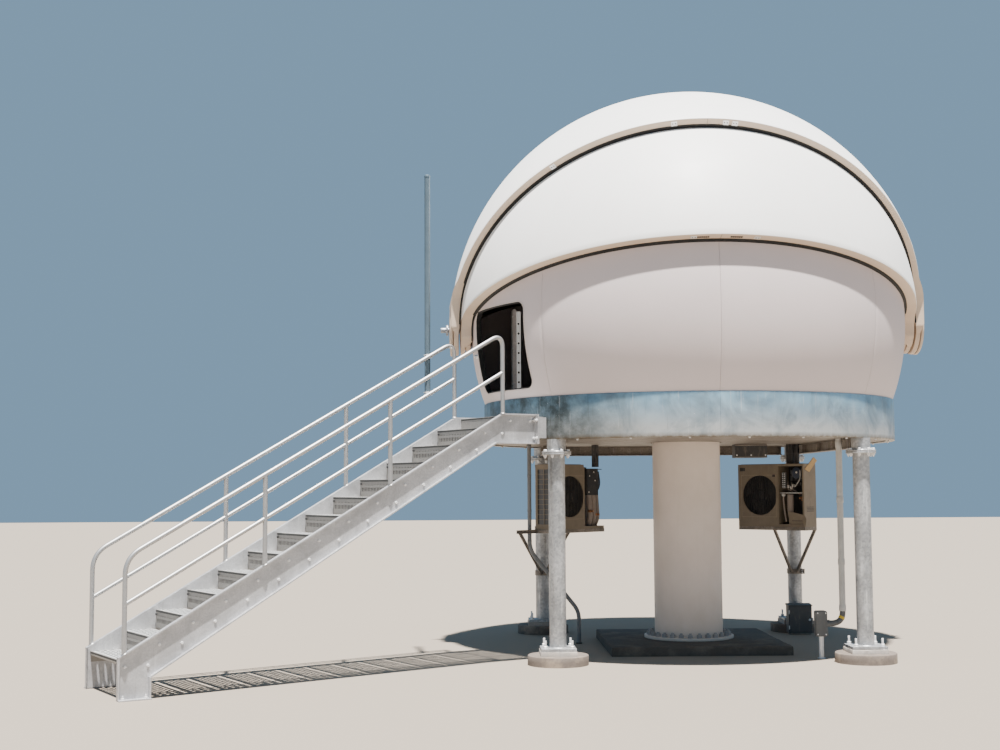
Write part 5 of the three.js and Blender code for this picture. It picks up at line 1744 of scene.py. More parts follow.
def grip_holes(low, high, width, row=0.0345, pitch=0.078, length=0.052, across=0.0220):
    """Staggered long holes over a rectangle from low to high along X and over the width."""
    holes = []
    rows = int((high - low - 0.020) / row)
    first = (low + high) / 2 - row * (rows - 1) / 2
    count = int(2 * width / pitch) + 1
    a, b = across / 2, length / 2
    for i in range(rows):
        x = first + i * row
        shift = pitch / 2 * (i % 2)
        for j in range(count):
            y = (j - (count - 1) / 2) * pitch + shift
            if abs(y) + b > width - 0.010:
                continue
            side = [(-a, -0.5 * b), (0.0, -b), (a, -0.5 * b)]
            holes.append([(x + p, y + q) for p, q in side] + [(x - p, y - q) for p, q in side])
    return holes


def riser_holes(width, height):
    """A row of small round holes above a row of upright slots: across and up."""
    holes = []
    count = int((2 * width - 0.050) / SLOT_PITCH)
    for j in range(count if height > SLOT_LOW else 0):
        y = (j - (count - 1) / 2) * SLOT_PITCH
        slot_low, slot_high = -SLOT_LOW + 0.008, -SLOT_LOW + 0.049
        holes.append(rounded_rectangle(y - 0.0080, slot_low, y + 0.0080, slot_high, 0.004, 2))
        holes.append([(y + across, -0.048 + up) for across, up in circle(0.0070, 8)])
    return holes


def riser(front, top, width, height):
    """The upright front plate, and the walls of its holes with the groove below the nosing, in near black as
    painted shade.
    """
    outline = rectangle(-width, -height, width, 0.0)
    holes = riser_holes(width, height)
    sheet = plate(outline, holes, RISER_T)
    stand = Matrix(((0, 0, 1), (1, 0, 0), (0, 1, 0))).to_4x4()
    place = Matrix.Translation((front - 0.004, 0, top)) @ stand
    walls = [box((-width, -0.0190, RISER_T / 2 - 0.0005), (width, -0.0005, RISER_T / 2 + 0.0004))]
    for hole in holes:
        middle = np.mean(np.array(hole), axis=0)
        ring = [tuple(middle + (np.array(point) - middle) * 0.94) for point in hole]
        levels = (-0.0060, RISER_T / 2 - 0.0002)
        walls.append(lattice([[(x, y, z) for x, y in ring] for z in levels], across=True))
    return placed(sheet, place), placed(merged(*walls), place)


def nosing(front, top, width):
    """The folded front edge of a plank, with a groove below the tread surface."""
    section = [(-0.016, -0.0030), (-0.0015, -0.0030), (0.0, -0.0015), (-0.0015, 0.0), (-0.016, 0.0)]
    rows = [[(front + x, y, top + z) for x, z in section] for y in (width, -width)]
    fold = [(-0.0060, -0.0225), (-0.0035, -0.0225), (-0.0035, -0.0250)]
    fold += [(-0.0005, -0.0250), (-0.0005, -0.0210)]
    fold += [(-0.0060, -0.0210)]
    low = [[(front + x, y, top + z) for x, z in fold] for y in (width, -width)]
    return merged(lattice(rows, across=True, caps=True), lattice(low, across=True, caps=True))


def grip_sheet(outline, holes, top):
    """A pressed plate with raised teeth round its holes, and the holes' walls, near black as painted shade.
    """
    sheet = shifted(plate(outline, holes, 0.0025), z=top - 0.0045)
    teeth, wells = [], []
    rim = ((1.30, 1.14, -0.0034), (1.18, 1.09, 0.0), (1.10, 1.05, -0.0004))
    wall = ((1.10, 1.05, -0.0004), (1.00, 1.00, -0.0030), (0.97, 0.98, -0.0180))
    for hole in holes:
        middle = np.mean(np.array(hole), axis=0)
        for levels, found in ((rim, teeth), (wall, wells)):
            rows = []
            for wide, long, z in levels:
                row = []
                for k, (x, y) in enumerate(hole):
                    notch = -0.0014 if z == 0.0 and k % 2 else 0.0
                    x_at = middle[0] + (x - middle[0]) * wide
                    y_at = middle[1] + (y - middle[1]) * long
                    row.append((x_at, y_at, top + z + notch))
                rows.append(row)
            found.append(lattice(rows, across=True))
    return merged(sheet, *teeth), merged(*wells)


def tread_frame(height, width):
    """The back edge, end plates and runners of a tread whose front edge is at the origin."""
    back = -TREAD_DEPTH
    parts = [box((back, -width, -TREAD_T), (back + 0.004, width, -0.003))]
    sheet, walls = riser(0.0, -0.0030, width, height - 0.0030)
    parts.append(sheet)
    parts.append(nosing(0.0, 0.0, width))
    for side in (-1, 1):
        y0, y1 = sorted((side * width, side * (width - 0.005)))
        parts.append(box((back, y0, -CARRIER_H), (-0.006, y1, -0.003)))
    for y in (-0.22, 0.0, 0.22):
        parts.append(box((back + 0.003, y - 0.002, -TREAD_T), (-0.008, y + 0.002, -0.006)))
    return merged(*parts), walls


def build_treads():
    width = TREAD_HALF
    back = -TREAD_DEPTH
    outline = rectangle(back, -width, -0.012, width)
    sheet, wells = grip_sheet(outline, grip_holes(back, -0.012, width), 0.0)
    tall = tread_frame(TREAD_RISE - RISER_GAP, width)
    short = tread_frame(TREAD_T, width)
    for i, (front, top) in enumerate(tread_places()):
        number = TREADS - i
        support = tall if number > 1 else short
        piece = Piece(f"grip_tread_{number:02d}")
        piece.add(at_stair(shifted(sheet, front, 0, top)), GRATING)
        piece.add(at_stair(shifted(wells, front, 0, top)), WELL)
        piece.add(at_stair(shifted(support[0], front, 0, top)), RISER)
        piece.add(at_stair(shifted(support[1], front, 0, top)), WELL)
        # The end bolts are in dark metal: painted shade under the nosing
        for side in (-1, 1) if number > 1 else ():
            bolt = towards(hex_head(0.020, 0.011), (0.0, side * (width - 0.028), -0.040), (1, 0, 0))
            piece.add(at_stair(shifted(bolt, front, 0, top)), DARK)
        piece.make("base", [f"tread_{number:02d}"], angle=30)


def build_landing():
    width = TREAD_HALF
    piece = Piece("landing_plate")
    touch = BAND_R + 0.0015
    curve = [(math.sqrt(touch**2 - y**2), y) for y in np.linspace(width, -width, 15)]
    edge = LANDING_NOSING - 0.012
    outline = [(edge, -width), (edge, width), *curve]
    holes = grip_holes(touch + 0.01, edge, width)
    height = LANDING_Z - TOP_TREAD_Z - RISER_GAP
    sheet, wells = grip_sheet(outline, holes, LANDING_Z)
    piece.add(at_stair(sheet), GRATING)
    piece.add(at_stair(wells), WELL)
    plate_part, walls = riser(LANDING_NOSING, LANDING_Z - 0.003, width, height - 0.003)
    piece.add(at_stair(plate_part), RISER)
    piece.add(at_stair(walls), WELL)
    piece.add(at_stair(nosing(LANDING_NOSING, LANDING_Z, width)), RISER)
    for y in (-width, -0.14, 0.14, width - 0.005):
        start = math.sqrt(touch**2 - max(abs(y), abs(y + 0.005)) ** 2)
        rib_low = (start + 0.002, y, LANDING_Z - TREAD_T)
        rib = box(rib_low, (LANDING_NOSING - 0.008, y + 0.005, LANDING_Z - 0.006))
        piece.add(at_stair(rib), RISER)
    piece.make("base", ["landing"], angle=30)


def build_mast():
    """The thin pole with a rounded cap, held to the far rails by straps on small backing plates."""
    piece = Piece("mast_pole")
    y = -STAIR_HALF - RAIL_R - MAST_R - 0.010
    run = [(MAST_DISTANCE, y, MAST_BOTTOM_Z), (MAST_DISTANCE, y, MAST_TOP_Z - 0.02)]
    piece.add(at_stair(tube(run, MAST_R, 32)), MAST)
    cap = [
        (0.0, -0.03),
        (MAST_R + 0.002, -0.03),
        (MAST_R + 0.002, -0.012),
        (0.8 * MAST_R, -0.003),
        (0.4 * MAST_R, 0.0),
        (0.0, 0.0),
    ]
    piece.add(at_stair(shifted(spin_open(cap, 32), MAST_DISTANCE, y, MAST_TOP_Z)), MAST)
    foot = disc(MAST_R + 0.001, 0.0, 0.012, 0.003, 32)
    piece.add(at_stair(shifted(foot, MAST_DISTANCE, y, MAST_BOTTOM_Z)), BOLT)
    for height in (RAIL_H, MID_RAIL_H):
        z = top_edge(MAST_DISTANCE) + height
        back = box(
            (MAST_DISTANCE - 0.035, y + MAST_R, z - 0.018),
            (MAST_DISTANCE + 0.035, -STAIR_HALF - RAIL_R - 0.0006, z + 0.018),
        )
        piece.add(at_stair(back), BOLT)
        for dz in (-0.010, 0.010):
            strap_r = MAST_R + 0.004
            strap = [
                (MAST_DISTANCE + strap_r * math.cos(a), y - strap_r * math.sin(a), z + dz)
                for a in np.linspace(0, math.pi, 15)
            ]
            ends = [(MAST_DISTANCE + MAST_R + 0.004, y + MAST_R + 0.002, z + dz)]
            other = [(MAST_DISTANCE - MAST_R - 0.004, y + MAST_R + 0.002, z + dz)]
            piece.add(at_stair(tube(ends + strap + other, 0.0035, 10)), BOLT)
    piece.make("base", ["mast"], angle=35)


# Cooling units. In a unit's own frame X is the way it faces and +Y is its right-hand end.


def guard_plate(width, height, columns, rows, border=0.030, wire=0.007):
    """A sheet with a grid of square openings, as over a coil."""
    outline = rectangle(0, 0, width, height)
    across = (width - 2 * border + wire) / columns
    up = (height - 2 * border + wire) / rows
    holes = []
    for i in range(columns):
        for j in range(rows):
            x, y = border + i * across, border + j * up
            x_end, y_end = x + across - wire, y + up - wire
            holes.append(rectangle(x, y, x_end, y_end))
    return plate(outline, holes, 0.004)


def facing_x(part):
    """Stands a part drawn in the XY plane up across X: its X goes along Y, its Y up."""
    return placed(part, Matrix(((0, 0, 1), (1, 0, 0), (0, 1, 0))).to_4x4())


def facing_y(part):
    """Stands a part drawn in the XY plane up along X: its X goes along X, its Y up."""
    return placed(part, Matrix(((1, 0, 0), (0, 0, -1), (0, 1, 0))).to_4x4())


def rounded_rectangle(x0, y0, x1, y1, r, steps=5):
    points = []
    for cx, cy, start in (
        (x1 - r, y0 + r, -90),
        (x1 - r, y1 - r, 0),
        (x0 + r, y1 - r, 90),
        (x0 + r, y0 + r, 180),
    ):
        for i in range(steps + 1):
            a = math.radians(start + 90 * i / steps)
            points.append((cx + r * math.cos(a), cy + r * math.sin(a)))
    return points


def unit_fan(fan_y):
    """Three curved blades on a hub."""
    parts = [towards(disc(0.058, 0.0, 0.060, 0.012, 32), (0.062, fan_y, UNIT_H / 2), (1, 0, 0))]
    for blade in range(3):
        rows = []
        for share in np.linspace(0, 1, 9):
            r = 0.05 + (UNIT_FAN_R - 0.022 - 0.05) * share
            row = []
            for swing in np.linspace(-0.5, 0.5, 7):
                a = blade * 2 * math.pi / 3 + swing * (1.0 + 0.5 * share) + 0.35 * share
                x = 0.078 + swing * 0.055 * (1 - 0.3 * share)
                row.append((x, fan_y + r * math.cos(a), UNIT_H / 2 + r * math.sin(a)))
            back = [(x - 0.003, y, z) for x, y, z in reversed(row)]
            rows.append(row + back)
        parts.append(lattice(rows, across=True, caps=True))
    return merged(*parts)


def unit_grille(fan_y):
    """Upright slats across the round opening, with a rim and two hoops behind them."""
    x = UNIT_D / 2 - 0.006
    middle = UNIT_H / 2
    parts = []
    for k in range(-9, 10):
        dy = k * 0.0245
        half = math.sqrt(max(0.0, (UNIT_FAN_R - 0.004) ** 2 - dy**2))
        if half < 0.03:
            continue
        y = fan_y + dy
        parts.append(box((x - 0.009, y - 0.0022, middle - half), (x + 0.003, y + 0.0022, middle + half)))
    for radius in (UNIT_FAN_R - 0.004, 0.155, 0.080):
        hoop = [
            (x - 0.007, fan_y + radius * math.cos(a), middle + radius * math.sin(a))
            for a in np.linspace(0, 2 * math.pi, 65)
        ]
        parts.append(tube(hoop, 0.003, 8))
    return merged(*parts)


def build_unit(name, x, y, facing):
    piece = Piece("cooling_housing_" + name)
    place = Matrix.Translation((x, y, UNIT_Z)) @ Matrix.Rotation(math.radians(facing), 4, "Z")

    def add(part, material):
        piece.add(placed(part, place), material)

    d, w, h = UNIT_D / 2, UNIT_W / 2, UNIT_H
    fan_y = 0.015 - UNIT_BAY / 2
    split = w - UNIT_BAY - 0.012
    fan_hole = [(fan_y + a, h / 2 + b) for a, b in circle(UNIT_FAN_R, 64)]
    panel = rectangle(-w, 0, split - 0.003, h - 0.03)
    front = plate(panel, [fan_hole], 0.003)
    add(shifted(facing_x(front), d - 0.0015), HOUSING)
    bezel = []
    for a in np.linspace(0, 2 * math.pi, 65)[:-1]:
        ring = []
        for r, out in (
            (UNIT_FAN_R, -0.020),
            (UNIT_FAN_R, 0.002),
            (UNIT_FAN_R + 0.012, 0.004),
            (UNIT_FAN_R + 0.020, 0.0),
        ):
            ring.append((d + out - 0.002, fan_y + r * math.cos(a), h / 2 + r * math.sin(a)))
        bezel.append(ring)
    add(lattice(bezel, along=True), HOUSING)
    add(unit_grille(fan_y), DARK)
    add(unit_fan(fan_y), DARK)
    for low, high in (
        ((-0.405, 0.112), (0.080, 0.117)),
        ((-0.405, 0.605), (0.080, 0.610)),
        ((-0.405, 0.112), (-0.400, 0.610)),
        ((0.075, 0.112), (0.080, 0.610)),
    ):
        add(box((d - 0.002, *low), (d + 0.0020, *high)), EMBOSSED)
    if name == "right":
        add(box((d - 0.002, -0.421, 0.657), (d + 0.0015, -0.351, 0.697)), DARK)
        add(box((d - 0.002, 0.031, 0.586), (d + 0.0040, 0.064, 0.612)), DARK)
    add(box((-d, -w + 0.004, 0), (d - 0.003, w - 0.004, 0.030)), HOUSING)
    lid = rounded_rectangle(-d - 0.004, -w - 0.004, d + 0.004, w + 0.004, 0.018)
    if name == "left":
        lid = rounded_rectangle(-d - 0.004, -w - 0.004, d + 0.004, split - 0.010, 0.018)
        add(box((-d + 0.004, split - 0.012, h - 0.060), (d - 0.030, w, h - 0.052)), DARK)
    add(prism(lid, h - 0.030, h - 0.004), HOUSING)
    crown = rounded_rectangle(-d + 0.02, -w + 0.02, d - 0.02, (split if name == "left" else w) - 0.03, 0.02)
    add(prism(crown, h - 0.005, h), HOUSING)
    side = shifted(facing_y(guard_plate(UNIT_D - 0.02, h - 0.06, 2, 11)), -d + 0.010, -w + 0.002, 0.030)
    add(side, HOUSING)
    add(box((-d + 0.012, -w + 0.012, 0.03), (d - 0.030, -w + 0.034, h - 0.035)), FINS)
    back = shifted(facing_x(guard_plate(UNIT_W - 0.02, h - 0.06, 14, 11)), -d + 0.002, -w + 0.010, 0.030)
    add(back, HOUSING)
    add(box((-d + 0.012, -w + 0.034, 0.03), (-d + 0.034, split, h - 0.035)), FINS)
    for k in range(11):
        z = 0.06 + k * 0.06
        add(box((d - 0.030, -w + 0.012, z), (d - 0.028, -w + 0.034, z + 0.055)), DARK)
    add(box((-d + 0.004, split - 0.004, 0.03), (d - 0.004, split, h - 0.030)), HOUSING)
    if name == "right":
        add(box((-d, w - 0.022, 0.0), (d, w, h - 0.030)), HOUSING)
        for z in (0.180, 0.196, 0.212, 0.228):
            add(box((-d + 0.060, w - 0.001, z), (d - 0.060, w + 0.0008, z + 0.006)), DARK)
    # The open bay's back wall in dark metal: painted shade inside the bay
    add(box((-d + 0.004, split, 0.03), (-d + 0.020, w - 0.020, h - 0.030)), DARK)
    if name == "left":
        left_bay(add, d)
    else:
        right_bay(add, split + 0.004, w - 0.024, d)
    deck = BAND_BOTTOM_Z + BAND_T - UNIT_Z
    for cx, cy, half_x, half_y in DUCTS[name]:
        section = rounded_rectangle(cx - half_x, cy - half_y, cx + half_x, cy + half_y, 0.4 * half_x)
        add(prism(section, h - 0.028, deck), DARK)
        for z in (h + 0.020, h + 0.120, deck - 0.014):
            wide = rounded_rectangle(cx - half_x, cy - half_y, cx + half_x, cy + half_y, 0.4 * half_x)
            add(prism(wide, z, z + 0.004), FINS)
    piece.make("base", ["cooling_unit_" + name], bevel=0.0012, angle=50)


def right_bay(add, left, right, d):
    """Terminals, a capacitor and loose wires above the shelf; valves and a fallen cover below."""
    shelf = 0.400
    add(box((-d + 0.020, left, shelf), (d - 0.030, right, shelf + 0.004)), FINS)
    add(box((d - 0.034, left, shelf - 0.010), (d - 0.030, right, shelf + 0.004)), CONDUIT_GREY)
    add(box((d - 0.050, 0.136, 0.450), (d - 0.035, 0.190, 0.640)), GREY_BOX)
    for k in range(7):
        z = 0.468 + k * 0.025
        for y in (0.150, 0.175):
            add(towards(disc(0.0065, 0, 0.006, 0.002, 12), (d - 0.036, y, z), (1, 0, 0)), BOLT)
    body = towards(disc(0.068, 0.0, 0.120, 0.008, 40), (d - 0.150, 0.335, 0.630), (1, 0, 0))
    add(body, CAPACITOR)
    add(towards(disc(0.012, 0.0, 0.004, 0.001, 20), (d - 0.030, 0.338, 0.636), (1, 0, 0)), PAPER)
    wire = [(d - 0.020, 0.392, 0.660), (d - 0.012, 0.400, 0.560), (d - 0.015, 0.325, 0.470)]
    add(bent_tube(wire, 0.050, 10, 0.0045, 10), PAPER)
    for k in range(4):
        y = 0.215 + 0.027 * k
        start, turn, end = (d - 0.030, y, 0.520), (d - 0.012, y + 0.010, 0.440), (d - 0.060, y + 0.045, 0.415)
        add(bent_tube((start, turn, end), 0.030, 8, 0.003, 8), DARK if k % 2 else PIPES)
    for y, z in ((0.225, 0.470), (0.262, 0.455), (0.292, 0.480)):
        add(box((d - 0.050, y - 0.012, z - 0.016), (d - 0.022, y + 0.012, z + 0.016)), PAPER)
    for row in range(3):
        for column in range(3):
            y, z = 0.175 + column * 0.060, 0.500 + row * 0.070
            size = 0.017 + 0.007 * ((row * 5 + column * 3) % 3)
            add(box((-d + 0.045, y - size / 2, z - size), (-d + 0.085, y + size / 2, z + size)), GREY_BOX)
    add(towards(disc(0.017, 0.0, 0.045, 0.005, 20), (d - 0.050, 0.162, 0.372), (1, 0, 0)), PAPER)
    thin = [(d - 0.030, 0.155, 0.372), (d - 0.030, 0.158, 0.260), (d - 0.030, 0.190, 0.060)]
    add(bent_tube(thin, 0.060, 10, 0.010, 14), PIPES)
    thick = [(d - 0.060, 0.232, 0.375), (d - 0.050, 0.236, 0.150), (d - 0.100, 0.250, 0.034)]
    add(bent_tube(thick, 0.070, 10, 0.036, 24), PIPES)
    for y, z, size in (
        (0.363, 0.337, 0.018),
        (0.395, 0.312, 0.014),
        (0.350, 0.392, 0.013),
        (0.400, 0.345, 0.015),
    ):
        body = disc(size, 0, 0.030, 0.004, 6)
        cap = disc(0.7 * size, 0.026, 0.052, 0.003, 16)
        add(towards(merged(body, cap), (d - 0.100, y, z), (1, 0, 0)), COPPER)
    cover = [(0.235, 0.010), (0.452, 0.000), (0.470, 0.100), (0.450, 0.140), (0.242, 0.188)]
    lean = Matrix.Translation((d - 0.022, 0, 0)) @ Matrix.Rotation(math.radians(9), 4, "Y")
    add(placed(facing_x(plate(cover, [], 0.003)), lean), HOUSING)
    add(placed(box((-0.002, 0.280, 0.070), (0.0028, 0.420, 0.076)), lean), DARK)
    flap = [(0.110, 0.675), (-0.085, 0.815), (-0.160, 0.775), (0.020, 0.640)]
    sheet = plate([(x, z) for x, z in flap], [], 0.008)
    add(shifted(facing_y(sheet), 0, UNIT_W / 2 + 0.005, 0), FLAP)


def left_bay(add, d):
    """A black control box with screws above and a bundle of lagged pipes below."""
    add(box((d - 0.110, 0.146, 0.385), (d - 0.004, 0.350, 0.692)), DARK)
    add(box((d - 0.006, 0.150, 0.390), (d - 0.001, 0.346, 0.688)), BLACK)
    for y, z in ((0.270, 0.652), (0.194, 0.606), (0.291, 0.555), (0.180, 0.420)):
        add(towards(disc(0.009, 0.0, 0.005, 0.002, 14), (d - 0.002, y, z), (1, 0, 0)), PAPER)
    for k, (y, radius) in enumerate(((0.185, 0.016), (0.255, 0.034), (0.330, 0.030), (0.395, 0.022))):
        top, low = (d - 0.070, y, 0.385), (d - 0.060, y + 0.012, 0.120)
        end = (d - 0.120, y + 0.030, 0.034)
        kind = DARK if k == 0 else PIPES
        add(bent_tube((top, low, end), 0.050, 8, radius, 20), kind)
    for y, z in ((0.240, 0.200), (0.350, 0.160)):
        body = disc(0.018, 0, 0.040, 0.003, 6)
        cap = disc(0.011, 0.036, 0.070, 0.003, 16)
        add(towards(merged(body, cap), (d - 0.060, y, z), (1, 0, 0)), COPPER)
    for k in range(4):
        y = 0.365 + 0.016 * k
        start, turn, end = (d - 0.050, y, 0.660), (d - 0.030, y + 0.010, 0.500), (d - 0.080, y - 0.020, 0.390)
        add(bent_tube((start, turn, end), 0.060, 8, 0.005, 8), DARK)


def angle_iron(start, end, leg, thick, across, up):
    """An angle bar from start to end with its legs along two directions."""
    start, end = Vector(start), Vector(end)
    across, up = Vector(across) * leg, Vector(up) * leg
    thin_across, thin_up = across.normalized() * thick, up.normalized() * thick
    section = [Vector(), across, across + thin_up, thin_across + thin_up, thin_across + up, up]
    rows = [[tuple(point + offset) for offset in section] for point in (start, end)]
    return lattice(rows, across=True, caps=True)


def build_bracket(name, x, y, facing):
    """The angle frame under a unit, with arms and braces to two collars on the leg."""
    piece = Piece("unit_frame_" + name)
    turn = Matrix.Rotation(math.radians(facing), 4, "Z")
    place = Matrix.Translation((x, y, UNIT_Z)) @ turn
    leg = Vector((-LEG_OFFSET if name == "left" else LEG_OFFSET, LEG_OFFSET, 0)) - Vector((x, y, 0))
    leg = turn.inverted() @ leg

    def add(part, material=UNDERSIDE):
        piece.add(placed(part, place), material)

    w, d, top = UNIT_W / 2, UNIT_D / 2, -GAP
    z = top - 0.040
    for sx in (-1, 1):
        end = -w if sx > 0 else min(-w, BRACES[name][0] - 0.030)
        add(angle_iron((sx * d, end, z), (sx * d, w, z), 0.040, 0.005, (-sx, 0, 0), (0, 0, 1)))
        lug = box((sx * d - 0.018 - sx * 0.018, end, top - 0.005), (sx * d + 0.018 - sx * 0.018, w, top))
        add(lug)
    for sy in (-1, 1):
        add(angle_iron((-d, sy * w, z), (d, sy * w, z), 0.040, 0.005, (0, -sy, 0), (0, 0, 1)))
    for sx in (-1, 1):
        for sy in (-1, 1):
            under = (sx * (d - 0.020), sy * (w - 0.10), top - 0.005)
            add(towards(anchor(0.017, 0.010, 0.008), under, (0, 0, -1)), BOLT)
    for level in (top - 0.025, BRACE_FOOT):
        inner = LEG_R + 0.0006
        ring = rectangle(inner, level - 0.03, inner + 0.008, level + 0.03)
        add(shifted(revolve(ring, 56), leg.x, leg.y))
        for sign in (-1, 1):
            ear_box = box(
                (sign * 0.006 - 0.004, inner + 0.006, level - 0.030),
                (sign * 0.006 + 0.004, inner + 0.050, level + 0.030),
            )
            add(shifted(ear_box, leg.x, leg.y))
        for dz in (-0.014, 0.014):
            head = towards(hex_head(0.017, 0.010), (0.010, inner + 0.030, level + dz), (1, 0, 0))
            add(shifted(head, leg.x, leg.y), BOLT)

    def strut(low, sx, sy, high):
        away = Vector((sx - leg.x, sy - leg.y, 0))
        away.length = LEG_R + 0.004
        start = Vector((leg.x, leg.y, 0)) + away
        start.z = low
        add(tube([start, (sx, sy, high)], 0.020, 20))

    for sign in (-1, 1):
        strut(top - 0.020, d - 0.020, sign * (w - 0.020), top - 0.020)
    for across in BRACES[name]:
        strut(BRACE_FOOT, -d + 0.020, across, top - 0.025)
    piece.make("base", ["unit_bracket_" + name], angle=35)


def build_units():
    for name, (x, y, facing) in UNITS.items():
        build_unit(name, x, y, facing)
        build_bracket(name, x, y, facing)


def build_left_conduit():
    """The thinner conduit that runs down from the deck and slants under the left unit."""
    piece = Piece("conduit_left_run")
    top, bend, second, foot = LEFT_CONDUIT
    upper = rounded_corner(top, bend, second, 0.110, 12)
    lower = rounded_corner(bend, second, foot, 0.090, 12)
    route = [top, *upper, *lower, foot]
    piece.add(tube(route, LEFT_CONDUIT_R - 0.002, 20), CONDUIT_DARK)
    for z in (2.235, 1.900, 1.500, 1.150):
        clip = disc(LEFT_CONDUIT_R, -0.016, 0.016, 0.003, 24)
        piece.add(shifted(clip, top[0], top[1], z), CONDUIT_DARK)
    piece.add(shifted(disc(LEFT_CONDUIT_R + 0.010, 0.0, 0.012, 0.003, 28), foot[0], foot[1]), DARK)
    piece.make("base", ["conduit_left"], angle=40)


def build_conduit():
    """The conduit with its couplings and elbow, and the junction box on its post."""
    piece = Piece("conduit_run")
    x, y = CONDUIT
    jx, jy = JUNCTION
    jw, jd, jh = JUNCTION_SIZE
    level = JUNCTION_Z + jh / 2
    top = Vector((x, y, BAND_BOTTOM_Z + BAND_T))
    corner = Vector((x, y, level))
    into = Vector((jx + jw / 2 - 0.004, jy, level))
    bend = rounded_corner(top, corner, into, 0.120, 16)
    piece.add(tube([top, (x, y, level + 0.16)], CONDUIT_R, 28), CONDUIT_GREY)
    piece.add(tube([(x, y, level + 0.17), *bend, into], CONDUIT_R - 0.002, 28), GREY_BOX)
    for z in (level + 0.155, 0.98, 1.62, BAND_BOTTOM_Z - 0.05):
        sleeve = disc(CONDUIT_R + 0.004, -0.032, 0.032, 0.003, 32)
        piece.add(shifted(sleeve, x, y, z), CONDUIT_GREY)
    piece.add(tube([into + Vector((0.034, 0, 0)), into], CONDUIT_R + 0.004, 28), GREY_BOX)
    tape = bend[5]
    ahead = bend[6]
    direction = (ahead - tape).normalized()
    piece.add(tube([tape - direction * 0.014, tape + direction * 0.014], CONDUIT_R, 28), TAPE)
    body = rounded_rectangle(-jw / 2, 0, jw / 2, jh, 0.020, 6)
    shell = shifted(facing_y(prism(body, -jd / 2, jd / 2 - 0.010)), jx, jy, JUNCTION_Z)
    piece.add(shell, GREY_BOX)
    lid = rounded_rectangle(-jw / 2 + 0.002, 0.004, jw / 2 - 0.002, jh - 0.004, 0.020, 6)
    cover = shifted(facing_y(prism(lid, jd / 2 - 0.009, jd / 2)), jx, jy, JUNCTION_Z)
    piece.add(cover, GREY_BOX)
    for sx in (-1, 1):
        for z in (0.022, jh - 0.022):
            screw_at = (jx + sx * (jw / 2 - 0.018), jy - jd / 2, JUNCTION_Z + z)
            screw = towards(disc(0.007, 0, 0.004, 0.001, 14), screw_at, (0, -1, 0))
            piece.add(screw, BOLT)
    piece.add(shifted(tube([(0, 0, 0), (0, 0, JUNCTION_Z + 0.010)], JUNCTION_POST_R, 24), jx, jy), BOLT)
    piece.add(shifted(disc(JUNCTION_POST_R + 0.018, 0, 0.006, 0.002, 28), jx, jy), BOLT)
    piece.make("base", ["conduit"], bevel=0.002, angle=50)


def build_enclosure():
    """The small cabinet with its hood, door, hinges and latch."""
    piece = Piece("cabinet")
    w, d, h = ENCLOSURE_SIZE
    x, y = ENCLOSURE_X, LEG_OFFSET - FOOTING_R - GAP - d / 2

    def add(part, material=CABINET):
        piece.add(shifted(part, x, y), material)

    add(box((-w / 2, -d / 2, 0.020), (w / 2, d / 2, h)))
    add(box((-w / 2 + 0.012, -d / 2 + 0.012, 0.0), (w / 2 - 0.012, d / 2 - 0.012, 0.022)), UNDERSIDE)
    face = rounded_rectangle(-w / 2 + 0.010, 0.034, w / 2 - 0.010, h - 0.022, 0.010)
    door = shifted(facing_y(prism(face, 0.0, 0.008)), 0, -d / 2 - 0.0005, 0)
    add(door)
    hood = [(-d / 2 - 0.015, h - 0.010), (-d / 2 - 0.015, h - 0.004), (d / 2, h + 0.012), (d / 2, h - 0.010)]
    rows = [[(sx * (w / 2 + 0.008), py, pz) for py, pz in hood] for sx in (-1, 1)]
    add(lattice(rows, across=True, caps=True))
    for z in (0.085, h - 0.085):
        add(shifted(disc(0.006, -0.022, 0.022, 0.002, 16), -w / 2 + 0.004, -d / 2 - 0.006, z), BOLT)
    latch = merged(disc(0.014, 0, 0.006, 0.002, 24), box((-0.003, -0.012, 0.004), (0.003, 0.012, 0.014)))
    add(towards(latch, (w / 2 - 0.030, -d / 2 - 0.008, h / 2), (0, -1, 0)), BOLT)
    piece.make("base", ["enclosure"], bevel=0.002, angle=40)


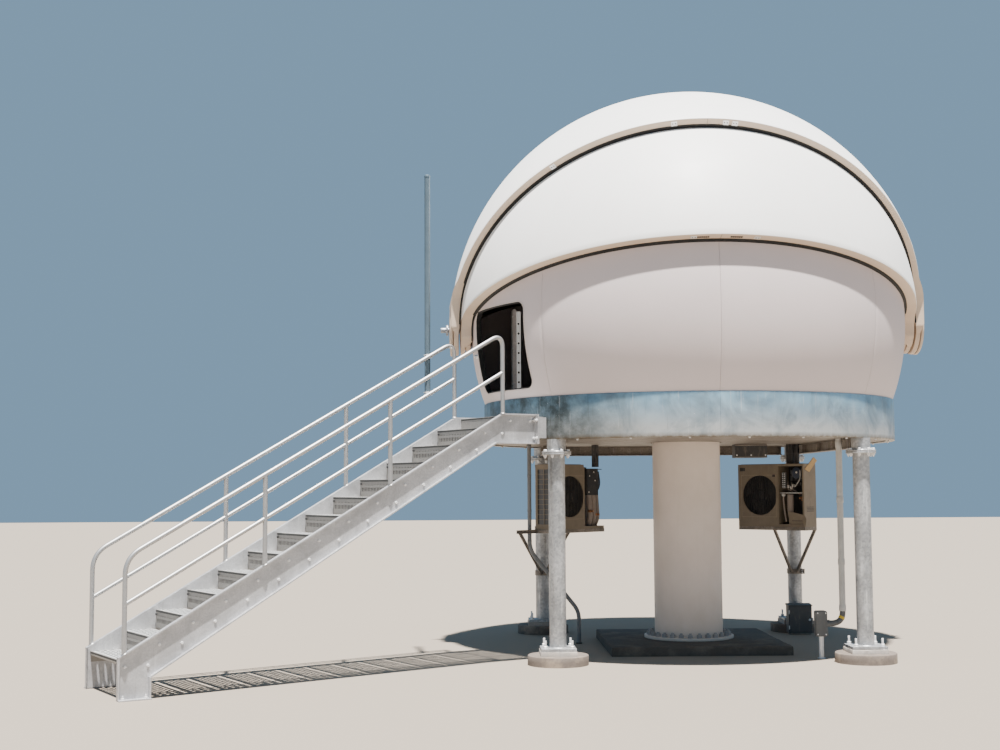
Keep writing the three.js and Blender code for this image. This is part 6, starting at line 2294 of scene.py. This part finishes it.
def make_camera():
    """The photograph's view."""
    yaw, pitch, roll = -0.0189, 0.0791, -0.0055
    forward = Vector((-math.sin(yaw) * math.cos(pitch), math.cos(yaw) * math.cos(pitch), math.sin(pitch)))
    level = Vector((math.cos(yaw), math.sin(yaw), 0))
    upright = level.cross(forward)
    right = math.cos(roll) * level + math.sin(roll) * upright
    up = -math.sin(roll) * level + math.cos(roll) * upright
    data = bpy.data.cameras.new("camera")
    data.sensor_fit = "HORIZONTAL"
    data.sensor_width = 36
    data.lens = 50.762
    data.clip_end = 200
    camera = bpy.data.objects.new("camera", data)
    spin = Matrix((right, up, -forward)).transposed().to_4x4()
    camera.matrix_world = Matrix.Translation(CAMERA_PLACE) @ spin
    bpy.context.scene.collection.objects.link(camera)
    bpy.context.scene.camera = camera


def make_stage():
    """A pale floor, a high sun in front and an even sky-blue surround."""
    mesh = bpy.data.meshes.new("floor")
    reach = FLOOR_HALF
    corners = [(-reach, -reach, 0), (reach, -reach, 0), (reach, reach, 0), (-reach, reach, 0)]
    mesh.from_pydata(corners, [], [(0, 1, 2, 3)])
    floor = bpy.data.objects.new("floor", mesh)
    f = Finish("floor_pale", (0.285, 0.240, 0.192), 0.9)
    f.tint(f.noise(0.8, 3), (0.275, 0.231, 0.184), amount=0.5)
    mesh.materials.append(f.done())
    bpy.context.scene.collection.objects.link(floor)
    world = bpy.data.worlds.new("surround")
    world.use_nodes = True
    world.node_tree.nodes["Background"].inputs["Color"].default_value = (*SKY_COLOUR, 1)
    world.node_tree.nodes["Background"].inputs["Strength"].default_value = SKY_STRENGTH
    bpy.context.scene.world = world
    sun = bpy.data.lights.new("key", "SUN")
    sun.energy = SUN_STRENGTH
    sun.angle = math.radians(SUN_SIZE)
    sun.color = SUN_COLOUR
    key = bpy.data.objects.new("key", sun)
    azimuth, elevation = math.radians(SUN_AZIMUTH), math.radians(SUN_ELEVATION)
    level = math.cos(elevation)
    direction = Vector((level * math.cos(azimuth), level * math.sin(azimuth), math.sin(elevation)))
    key.rotation_euler = direction.to_track_quat("Z", "Y").to_euler()
    bpy.context.scene.collection.objects.link(key)


make_camera()
make_stage()
dress_nodes()
build_shutters()
build_wall()
build_door_frame()
build_door_leaf()
build_upright()
build_pivots()
build_band()
build_legs()
build_pier()
build_deck()
build_stringers()
build_railings()
build_treads()
build_landing()
build_mast()
build_units()
build_conduit()
build_left_conduit()
build_enclosure()
